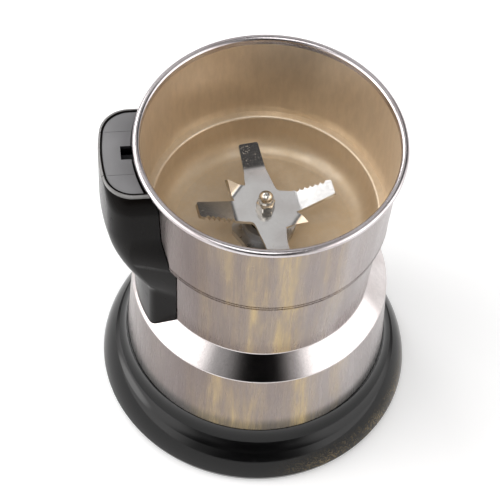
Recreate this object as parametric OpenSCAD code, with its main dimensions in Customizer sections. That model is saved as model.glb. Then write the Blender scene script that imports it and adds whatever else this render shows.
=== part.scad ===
// Electric grain mill: a steel grinding cup with a black handle, fixed on a motor housing
// that stands in a flared base ring. Z is up, the resting plane is z = 0, the drive axis is
// the Z axis and the handle points along -X. Millimetres.

/* [Cup] */
// Outer radius of the rolled rim
rim_r = 50; // [48:0.5:52]
// Thickness of the rolled rim
bead_d = 2.9; // [2.4:0.1:3.2]
// Steel sheet of the cup
cup_sheet = 0.8; // [0.6:0.1:1]
// Height of the tapered band, from the step up to the rim
band_h = 42; // [40:0.5:46]
// How much the band narrows from the rim to the step
band_taper = 1.6; // [0.8:0.1:3]
// Inside depth of the cup
cup_depth = 57; // [55:0.5:58]
// Radius of the corner between the cup's wall and its floor
floor_corner_r = 9; // [6:0.5:11]

/* [Housing] */
// Steel sheet of the housing
housing_sheet = 0.8; // [0.6:0.1:1]
// Height of the neck, between the shoulder and the step
neck_h = 36; // [34.5:0.5:40]
// Set-in of the neck below the step
neck_ledge = 2.2; // [1.6:0.1:3]
// How much the neck narrows downwards
neck_taper = 1.4; // [0.6:0.1:2]
// Height of the sloping shoulder
shoulder_h = 8.6; // [7.5:0.1:10]
// Width of the sloping shoulder
shoulder_run = 7.7; // [7:0.1:9]
// Height of the steel skirt
skirt_h = 33.8; // [33:0.2:38]
// How much the skirt widens downwards
skirt_flare = 1.8; // [0.5:0.1:2.4]

/* [Base] */
// Height of the base ring, from the resting plane to the skirt's edge
base_h = 24.6; // [24:0.2:28]
// Width of the flange round the skirt
flange_w = 10.3; // [9:0.1:13]
// Width of the flange inside its crease
flange_inner_w = 5.1; // [4.5:0.1:6]
// Height of the flange's crease
crease_z = 14.6; // [14:0.2:16]
// Wall of the base ring
base_wall = 2.2; // [1.8:0.1:2.6]
// Thickness of the bottom cover
cover_t = 2.5; // [2:0.1:3]
// Height of the rubber feet
foot_h = 1.5; // [1:0.1:2]
// Radius of a rubber foot
foot_r = 6; // [5:0.5:7]
// Radius of the circle of feet
foot_ring_r = 43; // [41:0.5:45]
// Bore radius of the cord grommet
cord_bore_r = 3.2; // [2.6:0.1:3.4]

/* [Handle] */
// Half the handle's width
handle_half_w = 20.5; // [19:0.5:22]
// How far the handle stands out beyond the rim
handle_reach = 12.2; // [11:0.1:13]
// Wall of the handle shell
handle_wall = 2; // [1.6:0.1:2.2]
// Depth of the handle's top below the rim
handle_drop = 3.1; // [3:0.1:4]
// Width of the border round the top plates
border_w = 1.4; // [1.2:0.1:1.8]
// Thickness of the top plates
plate_t = 1.5; // [1.2:0.1:2]
// Distance of each seam from the handle's centre line
seam_v = 9.7; // [8.5:0.1:11]
// Length of the lid's slot, away from the cup
slot_len = 5; // [4.6:0.1:6]
// Width of the lid's slot
slot_w = 6; // [5:0.1:7]
// Set-in of the handle's tail from the shoulder's edge
tail_inset = 1; // [0.6:0.1:1.2]

/* [Blade] */
// Height of the blade's top face above the cup's floor
blade_rise = 15.8; // [14:0.2:18]
// Thickness of the blade
blade_t = 1.5; // [1:0.1:2]
// Reach of the two plain arms, before they are bent
blade_r = 29; // [26:0.5:32]
// Reach of the two serrated arms, before they are bent
toothed_r = 27.2; // [25:0.1:29]
// Half the width of the hub
hub_half = 8.5; // [8:0.5:10]
// Bend of the serrated arms
toothed_bend = 21; // [14:1:24]
// Bend of the plain arms
plain_bend = 11; // [5:1:15]
// Turn of the blade about its axis
blade_turn = 97.8; // [90:0.1:105]
// Across flats of the dome nut
nut_af = 6.4; // [6:0.1:8]
// Turn of the dome nut about its axis
nut_turn = 5; // [0:1:59]
// Height of the dome nut
nut_h = 8; // [7.5:0.1:9]

/* [Interlock] */
// Travel of the push rod
press_travel = 2.2; // [1.6:0.1:2.4]
// Depth of the rod's head below the top plate
rod_depth = 5; // [4:0.5:7]
// Thickness of the rod in the tail
rod_t = 2.4; // [2:0.1:2.6]
// Distance from the lever's pivot to the rod
lever_arm = 9; // [8:0.5:10]
// Distance from the lever's pivot to the button
button_arm = 4.5; // [4:0.1:5]
// Wire radius of the return spring
spring_wire_r = 0.3; // [0.25:0.05:0.35]

/* [Motor] */
// Radius of the motor shaft
shaft_r = 3; // [2.5:0.1:3.5]
// Radius of the thread at the shaft's top
thread_r = 2; // [1.5:0.1:2.3]
// Height of the stator stack
core_h = 24; // [22:0.5:25]
// Outer radius of the stator stack
core_r = 33; // [32:0.5:35]
// Radius of the armature
armature_r = 15.8; // [15:0.1:16.5]
// Air gap between armature and poles
air_gap = 0.4; // [0.3:0.05:0.6]
// Radius of the commutator
commutator_r = 10; // [9:0.1:11]
// Height of the commutator
commutator_h = 10; // [9:0.5:10.5]
// Radius of the cooling fan
fan_r = 24; // [21:0.5:25]
// Height of the cooling fan
fan_h = 7; // [6:0.5:7.5]
// Outer radius of the turret that carries the upper bearing
turret_r = 8; // [7.5:0.1:9]
// Outer radius of the bearing bushes
bush_r = 5.6; // [5.2:0.1:6]

/* [Hidden] */
$fn = 96;

// Clearances
seat_gap = 0.1;      // between pieces that sit on each other
running_gap = 0.05;  // shaft in a bush
press_gap = 0.02;    // pressed and screwed fits
moving_gap = 0.3;    // between pieces that move past each other
cut = 1;             // how far a cutting tool runs past a face

// Levels, from the resting plane up
cover_z = foot_h;
cover_top_z = cover_z + cover_t;
skirt_z = base_h;
shoulder_z = skirt_z + skirt_h;
neck_z = shoulder_z + shoulder_h;
step_z = neck_z + neck_h;
rim_z = step_z + band_h;
bead_z = rim_z - bead_d / 2;
band_top_z = rim_z - bead_d - 0.2;
floor_z = rim_z - cup_depth;

// Radii, from the rim down
band_top_r = rim_r - bead_d + cup_sheet;
step_r = band_top_r - band_taper;
neck_top_r = step_r - neck_ledge;
neck_foot_r = neck_top_r - neck_taper;
shoulder_r = neck_foot_r + shoulder_run;
skirt_r = shoulder_r + skirt_flare;
base_r = skirt_r + flange_w;
spigot_h = 6.4;
spigot_wall = 2.2;
spigot_r = skirt_r - skirt_flare * spigot_h / skirt_h - housing_sheet - seat_gap;
spigot_in_r = spigot_r - spigot_wall;

// Outer radius of the band and of the neck at a height
function band_r(z) = step_r + band_taper * (z - step_z) / (band_top_z - step_z);
function neck_r(z) = neck_foot_r + neck_taper * (z - neck_z) / neck_h;
// Outer radius of the bowl where it hangs inside the neck
function bowl_r(z) = neck_r(z) - housing_sheet - 2 * seat_gap;

// Motor levels, from the cup's floor down
gasket_t = 1.5;
bracket_top_z = floor_z - cup_sheet - gasket_t;
bracket_t = 4;
bracket_z = bracket_top_z - bracket_t;
fan_top_z = bracket_z - 1.6;
fan_z = fan_top_z - fan_h;
winding_h = 7;
core_top_z = fan_z - winding_h - 2;
core_z = core_top_z - core_h;
commutator_top_z = core_z - winding_h - 1.5;
commutator_z = commutator_top_z - commutator_h;
plate_top_z = commutator_z - 4.1;
lower_plate_t = 4;
plate_z = plate_top_z - lower_plate_t;
shaft_z = plate_top_z - 7.2;
bearing_cup_z = shaft_z - moving_gap - 1.5;
mount_h = 3;

// Drive levels, from the cup's floor up
turret_top_z = floor_z + 7;
blade_top_z = floor_z + blade_rise;
blade_z = blade_top_z - blade_t;
spacer_z = turret_top_z + 0.4;
spacer_top_t = 0.8;
spacer_r = 5;

// Screws: shank radii, head radii and heights
m4_r = 1.9;
m4_head_r = 3.5;
m3_r = 1.5;
m3_head_r = 2.8;
head_h = 2;
bolt_ring_r = core_r - 3.8;
leg_ring_r = 27.5;
leg_angles = [45, 135, 225, 315];
base_screw_angles = [30, 150, 210, 330];
base_screw_ring_r = skirt_r + 0.8;

// Colours
steel = [0.72, 0.70, 0.70];
bright_steel = [0.82, 0.82, 0.84];
black = [0.09, 0.09, 0.10];
grey_plastic = [0.50, 0.50, 0.51];
rubber = [0.16, 0.16, 0.17];
copper = [0.72, 0.42, 0.22];
brass = [0.78, 0.64, 0.34];
lamination = [0.36, 0.37, 0.40];

// --- Outline functions ---------------------------------------------------------------------

function unit(v) = v / norm(v);
function last(list) = list[len(list) - 1];
function backwards(list) = [for (i = [len(list) - 1:-1:0]) list[i]];
// Points of an arc round centre c, from angle a0 to angle a1
function arc(c, r, a0, a1, n) =
    [for (i = [0:n]) let (a = a0 + (a1 - a0) * i / n) c + r * [cos(a), sin(a)]];
// Arc of radius r that rounds the corner b between a and c
function rounded_corner(a, b, c, r, n = 4) =
    let (u = unit(a - b), w = unit(c - b), half = acos(u * w) / 2,
        centre = b + unit(u + w) * r / sin(half),
        p = b + u * r / tan(half) - centre, q = b + w * r / tan(half) - centre,
        a0 = atan2(p[1], p[0]), turn = (atan2(q[1], q[0]) - a0 + 540) % 360 - 180)
    arc(centre, r, a0, a0 + turn, n);
// A path whose inner points are rounded with the radii given
function rounded_path(p, radii) = [for (i = [0:len(p) - 1])
    each (radii[i] > 0 ? rounded_corner(p[i - 1], p[i], p[i + 1], radii[i]) : [p[i]])];
// Unit vector to the right of the way from a to b
function right_of(a, b) = let (d = unit(b - a)) [d[1], -d[0]];
// The path moved to its right by t
function shifted(p, t) = [for (i = [0:len(p) - 1])
    let (j = max(i, 1), k = min(i, len(p) - 2),
        before = right_of(p[j - 1], p[j]), after = right_of(p[k], p[k + 1]),
        mitre = unit(before + after))
    p[i] + mitre * t / (mitre * before)];
// Closed section of a sheet of thickness t to the right of a path
function sheet_section(p, t) = concat(p, backwards(shifted(p, t)));

// --- Solid helpers -------------------------------------------------------------------------

module tube(r_out, r_in, z0, z1) {
    translate([0, 0, z0]) difference() {
        cylinder(r = r_out, h = z1 - z0);
        translate([0, 0, -cut]) cylinder(r = r_in, h = z1 - z0 + 2 * cut);
    }
}

module post(r, z0, z1) translate([0, 0, z0]) cylinder(r = r, h = z1 - z0);

module block(x0, x1, y0, y1, z0, z1) translate([x0, y0, z0]) cube([x1 - x0, y1 - y0, z1 - z0]);

module around(angles, r) for (a = angles) rotate([0, 0, a]) translate([r, 0, 0]) children();

// Turns a piece drawn with the handle along +X to the handle's real side, -X
module handle_side() rotate([0, 0, 180]) children();

// Lays a piece drawn along Z outwards along the handle's direction
module radial(angle, z) rotate([0, 0, angle]) translate([0, 0, z]) rotate([0, 90, 0]) children();

module hex_post(af, z0, z1) translate([0, 0, z0]) cylinder(r = af / sqrt(3), h = z1 - z0, $fn = 6);

// A screw with its head up at the origin, shank downwards
module screw(r, head_r, head, shank) {
    post(head_r, 0, head);
    post(r, -shank, 0);
}

// A round tube swept along points
module sweep(points, r, sides = 8) {
    n = len(points);
    rings = [for (i = [0:n - 1])
        let (t = unit(points[min(i + 1, n - 1)] - points[max(i - 1, 0)]),
            guide = abs(t[2]) > 0.9 ? [1, 0, 0] : [0, 0, 1],
            e1 = unit(cross(guide, t)), e2 = cross(t, e1))
        for (k = [0:sides - 1]) points[i] + r * (cos(360 * k / sides) * e1 + sin(360 * k / sides) * e2)];
    walls = [for (i = [0:n - 2], k = [0:sides - 1])
        let (a = i * sides + k, b = i * sides + (k + 1) % sides)
        each [[a, b, b + sides], [a, b + sides, a + sides]]];
    ends = [[for (k = [sides - 1:-1:0]) k], [for (k = [0:sides - 1]) (n - 1) * sides + k]];
    polyhedron(points = rings, faces = [for (f = concat(walls, ends)) backwards(f)], convexity = 8);
}

// Smooth curve through hand-chosen points
function smooth(p, steps = 5) = [for (i = [0:len(p) - 2], s = [0:steps - 1])
    let (a = p[max(i - 1, 0)], b = p[i], c = p[i + 1], d = p[min(i + 2, len(p) - 1)], t = s / steps)
    0.5 * (2 * b + (c - a) * t + (2 * a - 5 * b + 4 * c - d) * t * t
        + (3 * b - a - 3 * c + d) * t * t * t)];

// Points of a coil spring standing on z = 0, with closed end turns
function coil_points(r, height, turns, steps) = [for (i = [0:turns * steps])
    let (f = i / (turns * steps), a = 360 * turns * f, edge = 1 / turns,
        rise = f < edge ? 0.35 * f : f > 1 - edge ? 1 - 0.35 * (1 - f)
            : 0.35 * edge + (1 - 0.7 * edge) * (f - edge) / (1 - 2 * edge))
    [r * cos(a), r * sin(a), height * rise]];

module coil_spring(r, wire_r, height, turns)
    translate([0, 0, wire_r]) sweep(coil_points(r, height - 2 * wire_r, turns, 14), wire_r, 6);

// --- Cup and drive -------------------------------------------------------------------------

floor_hole_r = turret_r + seat_gap;
step_round = 1.2;

function cup_outline() =
    let (bead_c = [rim_r - bead_d / 2, bead_z],
        corner_z = floor_z - cup_sheet,
        outer = rounded_path([
            [band_top_r, band_top_z],
            [step_r, step_z],
            [bowl_r(step_z), step_z],
            [bowl_r(floor_z), corner_z],
            [floor_hole_r, corner_z]], [0, step_round, 0.3, floor_corner_r + cup_sheet, 0]),
        inner = shifted(outer, cup_sheet))
    concat(arc(bead_c, bead_d / 2, 180, -90, 15), outer, backwards(inner));

module grinding_cup() {
    color(steel) rotate_extrude($fn = 144) polygon(cup_outline());
}

turret_nut_af = 2 * turret_r + 6;
turret_nut_h = 3;

module turret_nut() {
    color(bright_steel) difference() {
        intersection() {
            hex_post(turret_nut_af, floor_z, floor_z + turret_nut_h);
            post(turret_nut_af / 2 + 1.2, floor_z - cut, floor_z + turret_nut_h + cut);
        }
        post(turret_r + press_gap, floor_z - cut, floor_z + turret_nut_h + cut);
    }
}

module floor_gasket() {
    color(rubber) tube(turret_r + 6, turret_r + seat_gap, bracket_top_z, bracket_top_z + gasket_t);
}

bush_z = bracket_z - 0.4;
bush_top_z = turret_top_z - 3.6;

module upper_bearing() {
    color(brass) tube(bush_r, shaft_r + running_gap, bush_z, bush_top_z);
}

module shaft_seal() {
    color(rubber) difference() {
        tube(bush_r, shaft_r + running_gap, bush_top_z, turret_top_z);
        post(bush_r - 1.2, turret_top_z - 0.8, turret_top_z + cut);
    }
}

module blade_spacer() {
    color(bright_steel) difference() {
        post(spacer_r, spacer_z, blade_z);
        post(shaft_r + press_gap, spacer_z - cut, blade_z - spacer_top_t);
        post(thread_r + press_gap, spacer_z, blade_z + cut);
    }
}

// Outline of one arm, from the fold outwards, with teeth along one edge. The widths are those at
// the fold and at the tip
hub_arm_w = 11;
hub_arm_r = 10;
plain_w = [8.4, 7.6];
toothed_w = [9.6, 6.8];
fold_r = 11;
plain_fold_r = 17.3;
tooth_count = 6;
tooth_d = 1.1;
tip_round = 1;
tab_fold_r = 11.2;
tab_half_w = 4;

// Each tab: its length, how far its tip lies to one side, and its bend
raised_tab = [8, 0.5, 50];
lowered_tab = [5.4, 4.4, -40];

function arm_half_w(r, from, reach, w) = (w[0] + (w[1] - w[0]) * (r - from) / (reach - from)) / 2;

function arm_outline(from, reach, w, teeth) =
    let (tooth_from = from + 1.8, pitch = (reach - 2.2 - tooth_from) / max(teeth, 1),
        root = arm_half_w(from, from, reach, w), tip = w[1] / 2)
    concat([[from, -root], [reach - tip_round, -tip], [reach, tip_round - tip],
        [reach, tip - tip_round], [reach - tip_round, tip]],
    teeth < 1 ? [] : [for (i = [teeth - 1:-1:0], part = [1, 0.5, 0])
        let (r = tooth_from + pitch * (i + part))
        [r, arm_half_w(r, from, reach, w) - (part == 0.5 ? tooth_d : 0)]],
    [[from, root]]);

// Raises what lies beyond a fold at radius from by angle
module bent_up(from, angle) {
    translate([from, 0, blade_t / 2]) rotate([0, -angle, 0]) translate([-from, 0, -blade_t / 2])
        linear_extrude(blade_t) children();
}

module blade_arm(from, reach, w, angle, teeth) {
    bent_up(from, angle) polygon(arm_outline(from - 0.2, reach, w, teeth));
}

// The pointed tab on the hub's corner, with its tip off the corner's line by side
module blade_tab(length, side, angle) {
    bent_up(tab_fold_r, angle) polygon([[tab_fold_r - 0.3, -tab_half_w],
        [tab_fold_r + length - 0.8, side - 0.8], [tab_fold_r + length, side],
        [tab_fold_r - 0.3, tab_half_w]]);
}

module blade_hub() {
    linear_extrude(blade_t) difference() {
        union() {
            for (a = [0, 180]) rotate(a) polygon([[0, -hub_arm_w / 2], [hub_arm_r, -hub_arm_w / 2],
                [plain_fold_r, -plain_w[0] / 2], [plain_fold_r, plain_w[0] / 2],
                [hub_arm_r, hub_arm_w / 2], [0, hub_arm_w / 2]]);
            for (a = [90, 270]) rotate(a) polygon([[0, -hub_arm_w / 2], [fold_r, -toothed_w[0] / 2],
                [fold_r, toothed_w[0] / 2], [0, hub_arm_w / 2]]);
            for (a = [45, 225]) rotate(a) translate([0, -tab_half_w])
                square([tab_fold_r + 0.2, 2 * tab_half_w]);
            for (a = [135, 315]) rotate(a) translate([0, -hub_half / 2]) square([hub_half, hub_half]);
        }
        circle(r = thread_r + press_gap);
    }
}

module blade() {
    color(bright_steel) translate([0, 0, blade_z]) rotate([0, 0, blade_turn]) {
        blade_hub();
        for (a = [0, 180]) rotate([0, 0, a]) blade_arm(plain_fold_r, blade_r, plain_w, plain_bend, 0);
        for (a = [90, 270]) rotate([0, 0, a])
            blade_arm(fold_r, toothed_r, toothed_w, toothed_bend, tooth_count);
        rotate([0, 0, 45]) blade_tab(raised_tab[0], raised_tab[1], raised_tab[2]);
        rotate([0, 0, 225]) blade_tab(lowered_tab[0], lowered_tab[1], lowered_tab[2]);
    }
}

dome_r = nut_af / 2 - 0.35;
hex_h = nut_h * 0.42;

module dome_nut() {
    color(bright_steel) difference() {
        union() {
            rotate([0, 0, nut_turn]) hex_post(nut_af, blade_top_z, blade_top_z + hex_h);
            rotate_extrude() polygon(concat([[0, blade_top_z + hex_h - 0.2],
                [dome_r, blade_top_z + hex_h - 0.2]],
                arc([0, blade_top_z + nut_h - dome_r], dome_r, 0, 90, 10)));
        }
        post(thread_r + press_gap, blade_top_z - cut, blade_top_z + nut_h - 1.8);
    }
}

// --- Motor housing and base ----------------------------------------------------------------

function housing_path() = rounded_path([[neck_top_r, step_z], [neck_top_r, step_z - 0.8],
    [neck_foot_r, neck_z], [shoulder_r, shoulder_z], [skirt_r, skirt_z + 0.8], [skirt_r, skirt_z]],
    [0, 0, 1.2, 1.2, 0, 0]);

rod_half_w = slot_w / 2 - 0.4;
rod_low_u0 = neck_top_r + 0.7;
rod_low_u1 = rod_low_u0 + rod_t;
lower_screw_v = handle_half_w - handle_wall - m3_head_r - 1.7;
lower_screw_angle = asin(lower_screw_v / neck_top_r);
lower_screw_z = neck_z + neck_h / 3;

module motor_housing() {
    color(steel) difference() {
        rotate_extrude($fn = 144) polygon(sheet_section(housing_path(), housing_sheet));
        handle_side() block(rod_low_u0 - 0.5, rod_low_u1 + 0.5, -rod_half_w - 0.5, rod_half_w + 0.5,
            shoulder_z - 3, neck_z);
        handle_side() for (a = [-1, 1]) radial(a * lower_screw_angle, lower_screw_z)
            post(m3_r + seat_gap, neck_foot_r - 4, neck_top_r + 3);
    }
}

crease_r = skirt_r + flange_inner_w;
cover_r = base_r - base_wall - 0.3;
cover_ledge_w = 1.6;
edge_z = 3.4;
post_u0 = spigot_in_r - 9;
post_screw_u = post_u0 + 5.4;
post_half_w = 6.5;
post_top_z = base_h + spigot_h;
cord_z = 8.6;
cord_seat_y = base_r - 2.2;
grommet_r = cord_bore_r + 1;
grommet_flange_r = cord_bore_r + 2.5;
boss_r = 3.6;

// The flange hollows out from the skirt to its crease, then rounds down to its edge
hollow_r = skirt_r + 0.2;
hollow_turn = 62;
flank_half = 15;
flank_z = edge_z + 0.4;
flank_mid = atan2(base_r - crease_r, crease_z - flank_z);
flank_r = norm([base_r - crease_r, crease_z - flank_z]) / (2 * sin(flank_half));
flank_centre = [crease_r, crease_z]
    - flank_r * [cos(flank_mid + flank_half), sin(flank_mid + flank_half)];

function hollow(a) = [
    hollow_r + (crease_r - hollow_r) * (1 - cos(a)) / (1 - cos(hollow_turn)),
    base_h - (base_h - crease_z) * sin(a) / sin(hollow_turn)];

function base_outline() =
    let (outer = concat(
            [for (i = [0:7]) hollow(hollow_turn * i / 8)],
            arc(flank_centre, flank_r, flank_mid + flank_half, flank_mid - flank_half, 6),
            [[base_r - 0.7, cover_z]]),
        inner = [[cover_r + seat_gap, cover_z], [cover_r + seat_gap, cover_top_z],
            [cover_r - cover_ledge_w, cover_top_z], [cover_r - cover_ledge_w, cover_top_z + 1.5],
            [crease_r - 1.4, crease_z - base_wall], [skirt_r - 0.6, crease_z + 1.2],
            [spigot_in_r, base_h - 6], [spigot_in_r, post_top_z],
            [spigot_r, post_top_z], [spigot_r, base_h]])
    concat(outer, inner);

module base_ring() {
    color(black) difference() {
        union() {
            rotate_extrude($fn = 144) polygon(base_outline());
            around(base_screw_angles, base_screw_ring_r) post(boss_r, cover_top_z, crease_z - 0.6);
            intersection() {
                handle_side() block(post_u0, spigot_in_r + 1, -post_half_w, post_half_w,
                    base_h - 5.6, post_top_z);
                post(spigot_in_r + 0.5, 0, rim_z);
            }
        }
        around(base_screw_angles, base_screw_ring_r) post(m3_r + press_gap, 0, crease_z - 2);
        handle_side() translate([post_screw_u, 0, 0]) post(m3_r + press_gap, base_h, post_top_z + cut);
        radial(90, cord_z) post(grommet_r + seat_gap, spigot_r, base_r + cut);
        radial(90, cord_z) post(grommet_flange_r + seat_gap, cord_seat_y, base_r + cut);
    }
}

module cord_grommet() {
    color(rubber) radial(90, cord_z) {
        tube(grommet_r, cord_bore_r, cord_seat_y - 7, cord_seat_y + 0.5);
        tube(grommet_flange_r, cord_bore_r, cord_seat_y, cord_seat_y + 1.5);
    }
}

vent_count = 16;

module bottom_cover() {
    color(black) difference() {
        union() {
            post(cover_r, cover_z, cover_top_z);
            tube(20, 18, cover_top_z - 0.2, cover_top_z + 2);
        }
        for (i = [0:vent_count - 1]) rotate([0, 0, 360 * i / vent_count])
            block(6, 15, -0.9, 0.9, cover_z - cut, cover_top_z + cut);
        around(base_screw_angles, base_screw_ring_r) {
            post(m3_r + seat_gap, cover_z - cut, cover_top_z + cut);
            post(m3_head_r + seat_gap, cover_z - cut, cover_z + 1.4);
        }
        around(leg_angles, leg_ring_r) {
            post(m3_r + seat_gap, cover_z - cut, cover_top_z + cut);
            post(m3_head_r + seat_gap, cover_z - cut, cover_z + 1.4);
        }
        around(leg_angles, foot_ring_r) post(foot_r * 0.4, cover_z - cut, cover_top_z + cut);
    }
}

module base_screws() {
    color(bright_steel) around(base_screw_angles, base_screw_ring_r)
        translate([0, 0, cover_z + 1.4]) mirror([0, 0, 1]) screw(m3_r, m3_head_r, 1.2, 8.5);
}

module tie_screws() {
    color(bright_steel) around(leg_angles, leg_ring_r)
        translate([0, 0, cover_z + 1.4]) mirror([0, 0, 1]) screw(m3_r, m3_head_r, 1.2, 9.5);
}

module motor_mounts() {
    color(rubber) around(leg_angles, leg_ring_r)
        tube(5, m3_r + 0.3, cover_top_z, cover_top_z + mount_h);
}

module rubber_feet() {
    color(rubber) around(leg_angles, foot_ring_r) {
        post(foot_r, 0, cover_z);
        post(foot_r * 0.4 - press_gap, cover_z - 0.2, cover_top_z + 0.2);
        post(foot_r * 0.55, cover_top_z, cover_top_z + 1.2);
    }
}

// --- Handle --------------------------------------------------------------------------------

handle_top_z = rim_z - handle_drop;
handle_ro = rim_r + handle_reach;
tail_ro = shoulder_r - tail_inset;
bulge_z = handle_top_z - 22;
tail_z = step_z - 18;
corner_bulge_r = 9.5;
corner_tail_r = 5;
edge_round = 1;

// Towards its top the handle's sides lean in and its corners grow rounder
lean_h = 9;
side_lean = 3;
corner_lean = 2;

// The handle's foot widens towards the neck: [toe, foot, where it starts in the handle's side]
ear_levels = [shoulder_z - 1, step_z, step_z + 6];
ear_u = [neck_foot_r - 9.7, tail_ro - 4.9];
ear_near = [2.7, 4.9, -0.2];
ear_far = [-1.1, -0.9, -1.3];
ear_root = [-1.2, -1.5];
recess_z = handle_top_z - plate_t - 0.2;
ledge_t = 2;
ledge_z = recess_z - ledge_t;

// Outer radius, half width and corner radius of the handle at a height
function bulge(z) = let (t = min(1, max(0, (z - tail_z) / (bulge_z - tail_z)))) sin(90 * t) ^ 0.85;
function handle_r(z) = tail_ro + (handle_ro - tail_ro) * bulge(z);
function lean(z) = max(0, 1 - (handle_top_z - z) / lean_h) ^ 2;
function half_w(z) = handle_half_w - side_lean * lean(z);
function corner_r(z) = corner_tail_r + (corner_bulge_r - corner_tail_r) * bulge(z) + corner_lean * lean(z);

// Plan outline of the handle: inner arc, sides, rounded corners, outer arc. The inset moves
// the sides and the outer arc inwards
function handle_plan(r_in, r_out, half_w, rc, inset) =
    let (w = half_w - inset, ro = r_out - inset, r = max(rc - inset, 0.3),
        cu = sqrt((ro - r) ^ 2 - (w - r) ^ 2), lean = atan2(w - r, cu), a_in = asin(w / r_in))
    concat(
        [for (i = [0:6]) let (a = -a_in + 2 * a_in * i / 6) r_in * [cos(a), sin(a)]],
        arc([cu, w - r], r, 90, lean, 5),
        [for (i = [1:5]) let (a = lean - 2 * lean * i / 6) ro * [cos(a), sin(a)]],
        arc([cu, r - w], r, -lean, -90, 5));

// A solid through plan outlines at rising levels
module loft(plans, levels) {
    n = len(plans[0]);
    points = [for (i = [0:len(plans) - 1]) for (p = plans[i]) [p[0], p[1], levels[i]]];
    sides = [for (i = [0:len(plans) - 2], k = [0:n - 1]) let (m = (k + 1) % n)
        each [[i * n + k, i * n + m, (i + 1) * n + m], [i * n + k, (i + 1) * n + m, (i + 1) * n + k]]];
    ends = [[for (k = [0:n - 1]) k], [for (k = [n - 1:-1:0]) (len(plans) - 1) * n + k]];
    polyhedron(points = points, faces = concat(sides, ends), convexity = 6);
}

function steps_between(a, b, n) = [for (i = [0:n - 1]) a + (b - a) * i / n];
function inner_r(z) = moving_gap + (z < step_z ? neck_r(z) : band_r(z));

// Runs on above the handle's top, where handle_shell cuts it flat
module handle_body() {
    edge_from = handle_top_z - edge_round;
    levels = concat([shoulder_z - 1, tail_z - 3], steps_between(tail_z, step_z - 0.8, 5),
        [step_z - 0.8], steps_between(step_z, bulge_z, 5),
        [bulge_z], steps_between(handle_top_z - lean_h, edge_from, 4),
        [edge_from, edge_from + edge_round * 0.55, edge_from + edge_round * 0.9,
            handle_top_z, handle_top_z + cut]);
    insets = [for (z = levels) let (rise = min(edge_round, max(0, z - edge_from)))
        edge_round - sqrt(edge_round ^ 2 - rise ^ 2)];
    loft([for (i = [0:len(levels) - 1])
        handle_plan(inner_r(levels[i]), handle_r(levels[i]), half_w(levels[i]), corner_r(levels[i]),
            insets[i])], levels);
}

module handle_cavity() {
    levels = concat([shoulder_z - 2, tail_z - 3], steps_between(tail_z, bulge_z, 9), [bulge_z, ledge_z]);
    loft([for (z = levels) handle_plan(neck_foot_r - 4, handle_r(z), half_w(z), corner_r(z),
        handle_wall)], levels);
}

slot_u0 = rim_r - 0.9;
slot_u1 = slot_u0 + slot_len;
rod_head_u0 = slot_u0 + 0.4;
rod_head_u1 = slot_u1 - 0.4;
rod_head_z = handle_top_z - rod_depth;
guide_z = bulge_z + 4;
guide_t = 2;
spring_u = (rod_head_u1 + rod_low_u1 + 2.2) / 2;
spring_r = 1.5;
spring_seat_z = step_z - 6;
spring_top_z = step_z + 8.4;
upper_screw_u = rim_r + 2;
upper_screw_v = handle_half_w - side_lean - border_w - m3_head_r - seat_gap - 0.3;
bracket_tab_z = guide_z + 5;
bracket_sheet = 1.2;
low_guide_z = neck_z + 20;

module shoulder_cutter() {
    rotate_extrude($fn = 144) polygon(concat([[0, shoulder_z - 20], [0, neck_z + 2]],
        [[neck_r(neck_z + 2), neck_z + 2]], shifted([[neck_foot_r, neck_z], [shoulder_r, shoulder_z],
        [shoulder_r + 12, shoulder_z - 13.4]], -seat_gap)));
}

// Inner ribs, each inside the shell's own outline and clear of the cup
module handle_ribs() {
    intersection() {
        union() {
            block(band_r(guide_z) + 1.6, handle_ro, -handle_half_w, handle_half_w,
                guide_z, guide_z + guide_t);
            block(rod_low_u1 + 1.1, handle_ro, -handle_half_w, handle_half_w,
                spring_seat_z - guide_t, spring_seat_z);
            for (s = [-1, 1]) translate([0, s * (rod_half_w + 4.3), 0])
                block(neck_foot_r, tail_ro, -4, 4, low_guide_z, low_guide_z + guide_t);
            for (s = [-1, 1]) translate([upper_screw_u, s * upper_screw_v, 0])
                post(m3_head_r + 1.2, bracket_tab_z + bracket_sheet, ledge_z + cut);
            for (s = [-1, 1]) radial(s * lower_screw_angle, lower_screw_z)
                post(m3_r + 2, neck_foot_r - 1, tail_ro + cut);
        }
        handle_keep();
    }
}

// The space that the cup and the neck take up, with their gap
module cup_room() {
    rotate_extrude($fn = 144) polygon([[0, shoulder_z - 5], [neck_foot_r + moving_gap, shoulder_z - 5],
        [neck_foot_r + moving_gap, neck_z], [neck_top_r + moving_gap, step_z - 0.5],
        [step_r + moving_gap, step_z - 0.5], [band_top_r + moving_gap, bead_z], [0, bead_z]]);
}

function ear_plan(i, side) =
    let (w = handle_half_w, plan = [[ear_u[0], w + ear_root[0]], [ear_u[1], w + ear_root[1]],
        [ear_u[1], w + ear_far[i]], [ear_u[0], w + ear_near[i]]])
    side > 0 ? plan : [for (k = [3:-1:0]) [plan[k][0], -plan[k][1]]];

// The handle's foot, wider against the neck than at its corners
module handle_ears() {
    difference() {
        for (s = [-1, 1]) loft([for (i = [0:2]) ear_plan(i, s)], ear_levels);
        cup_room();
    }
}

// The space inside the handle's outer face and outside the cup and neck
module handle_keep() {
    difference() {
        loft([for (z = [shoulder_z, tail_z, (tail_z + bulge_z) / 2, bulge_z, recess_z])
            handle_plan(neck_foot_r - 3, handle_r(z), half_w(z), corner_r(z), handle_wall / 2)],
            [shoulder_z, tail_z, (tail_z + bulge_z) / 2, bulge_z, recess_z]);
        cup_room();
    }
}

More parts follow.
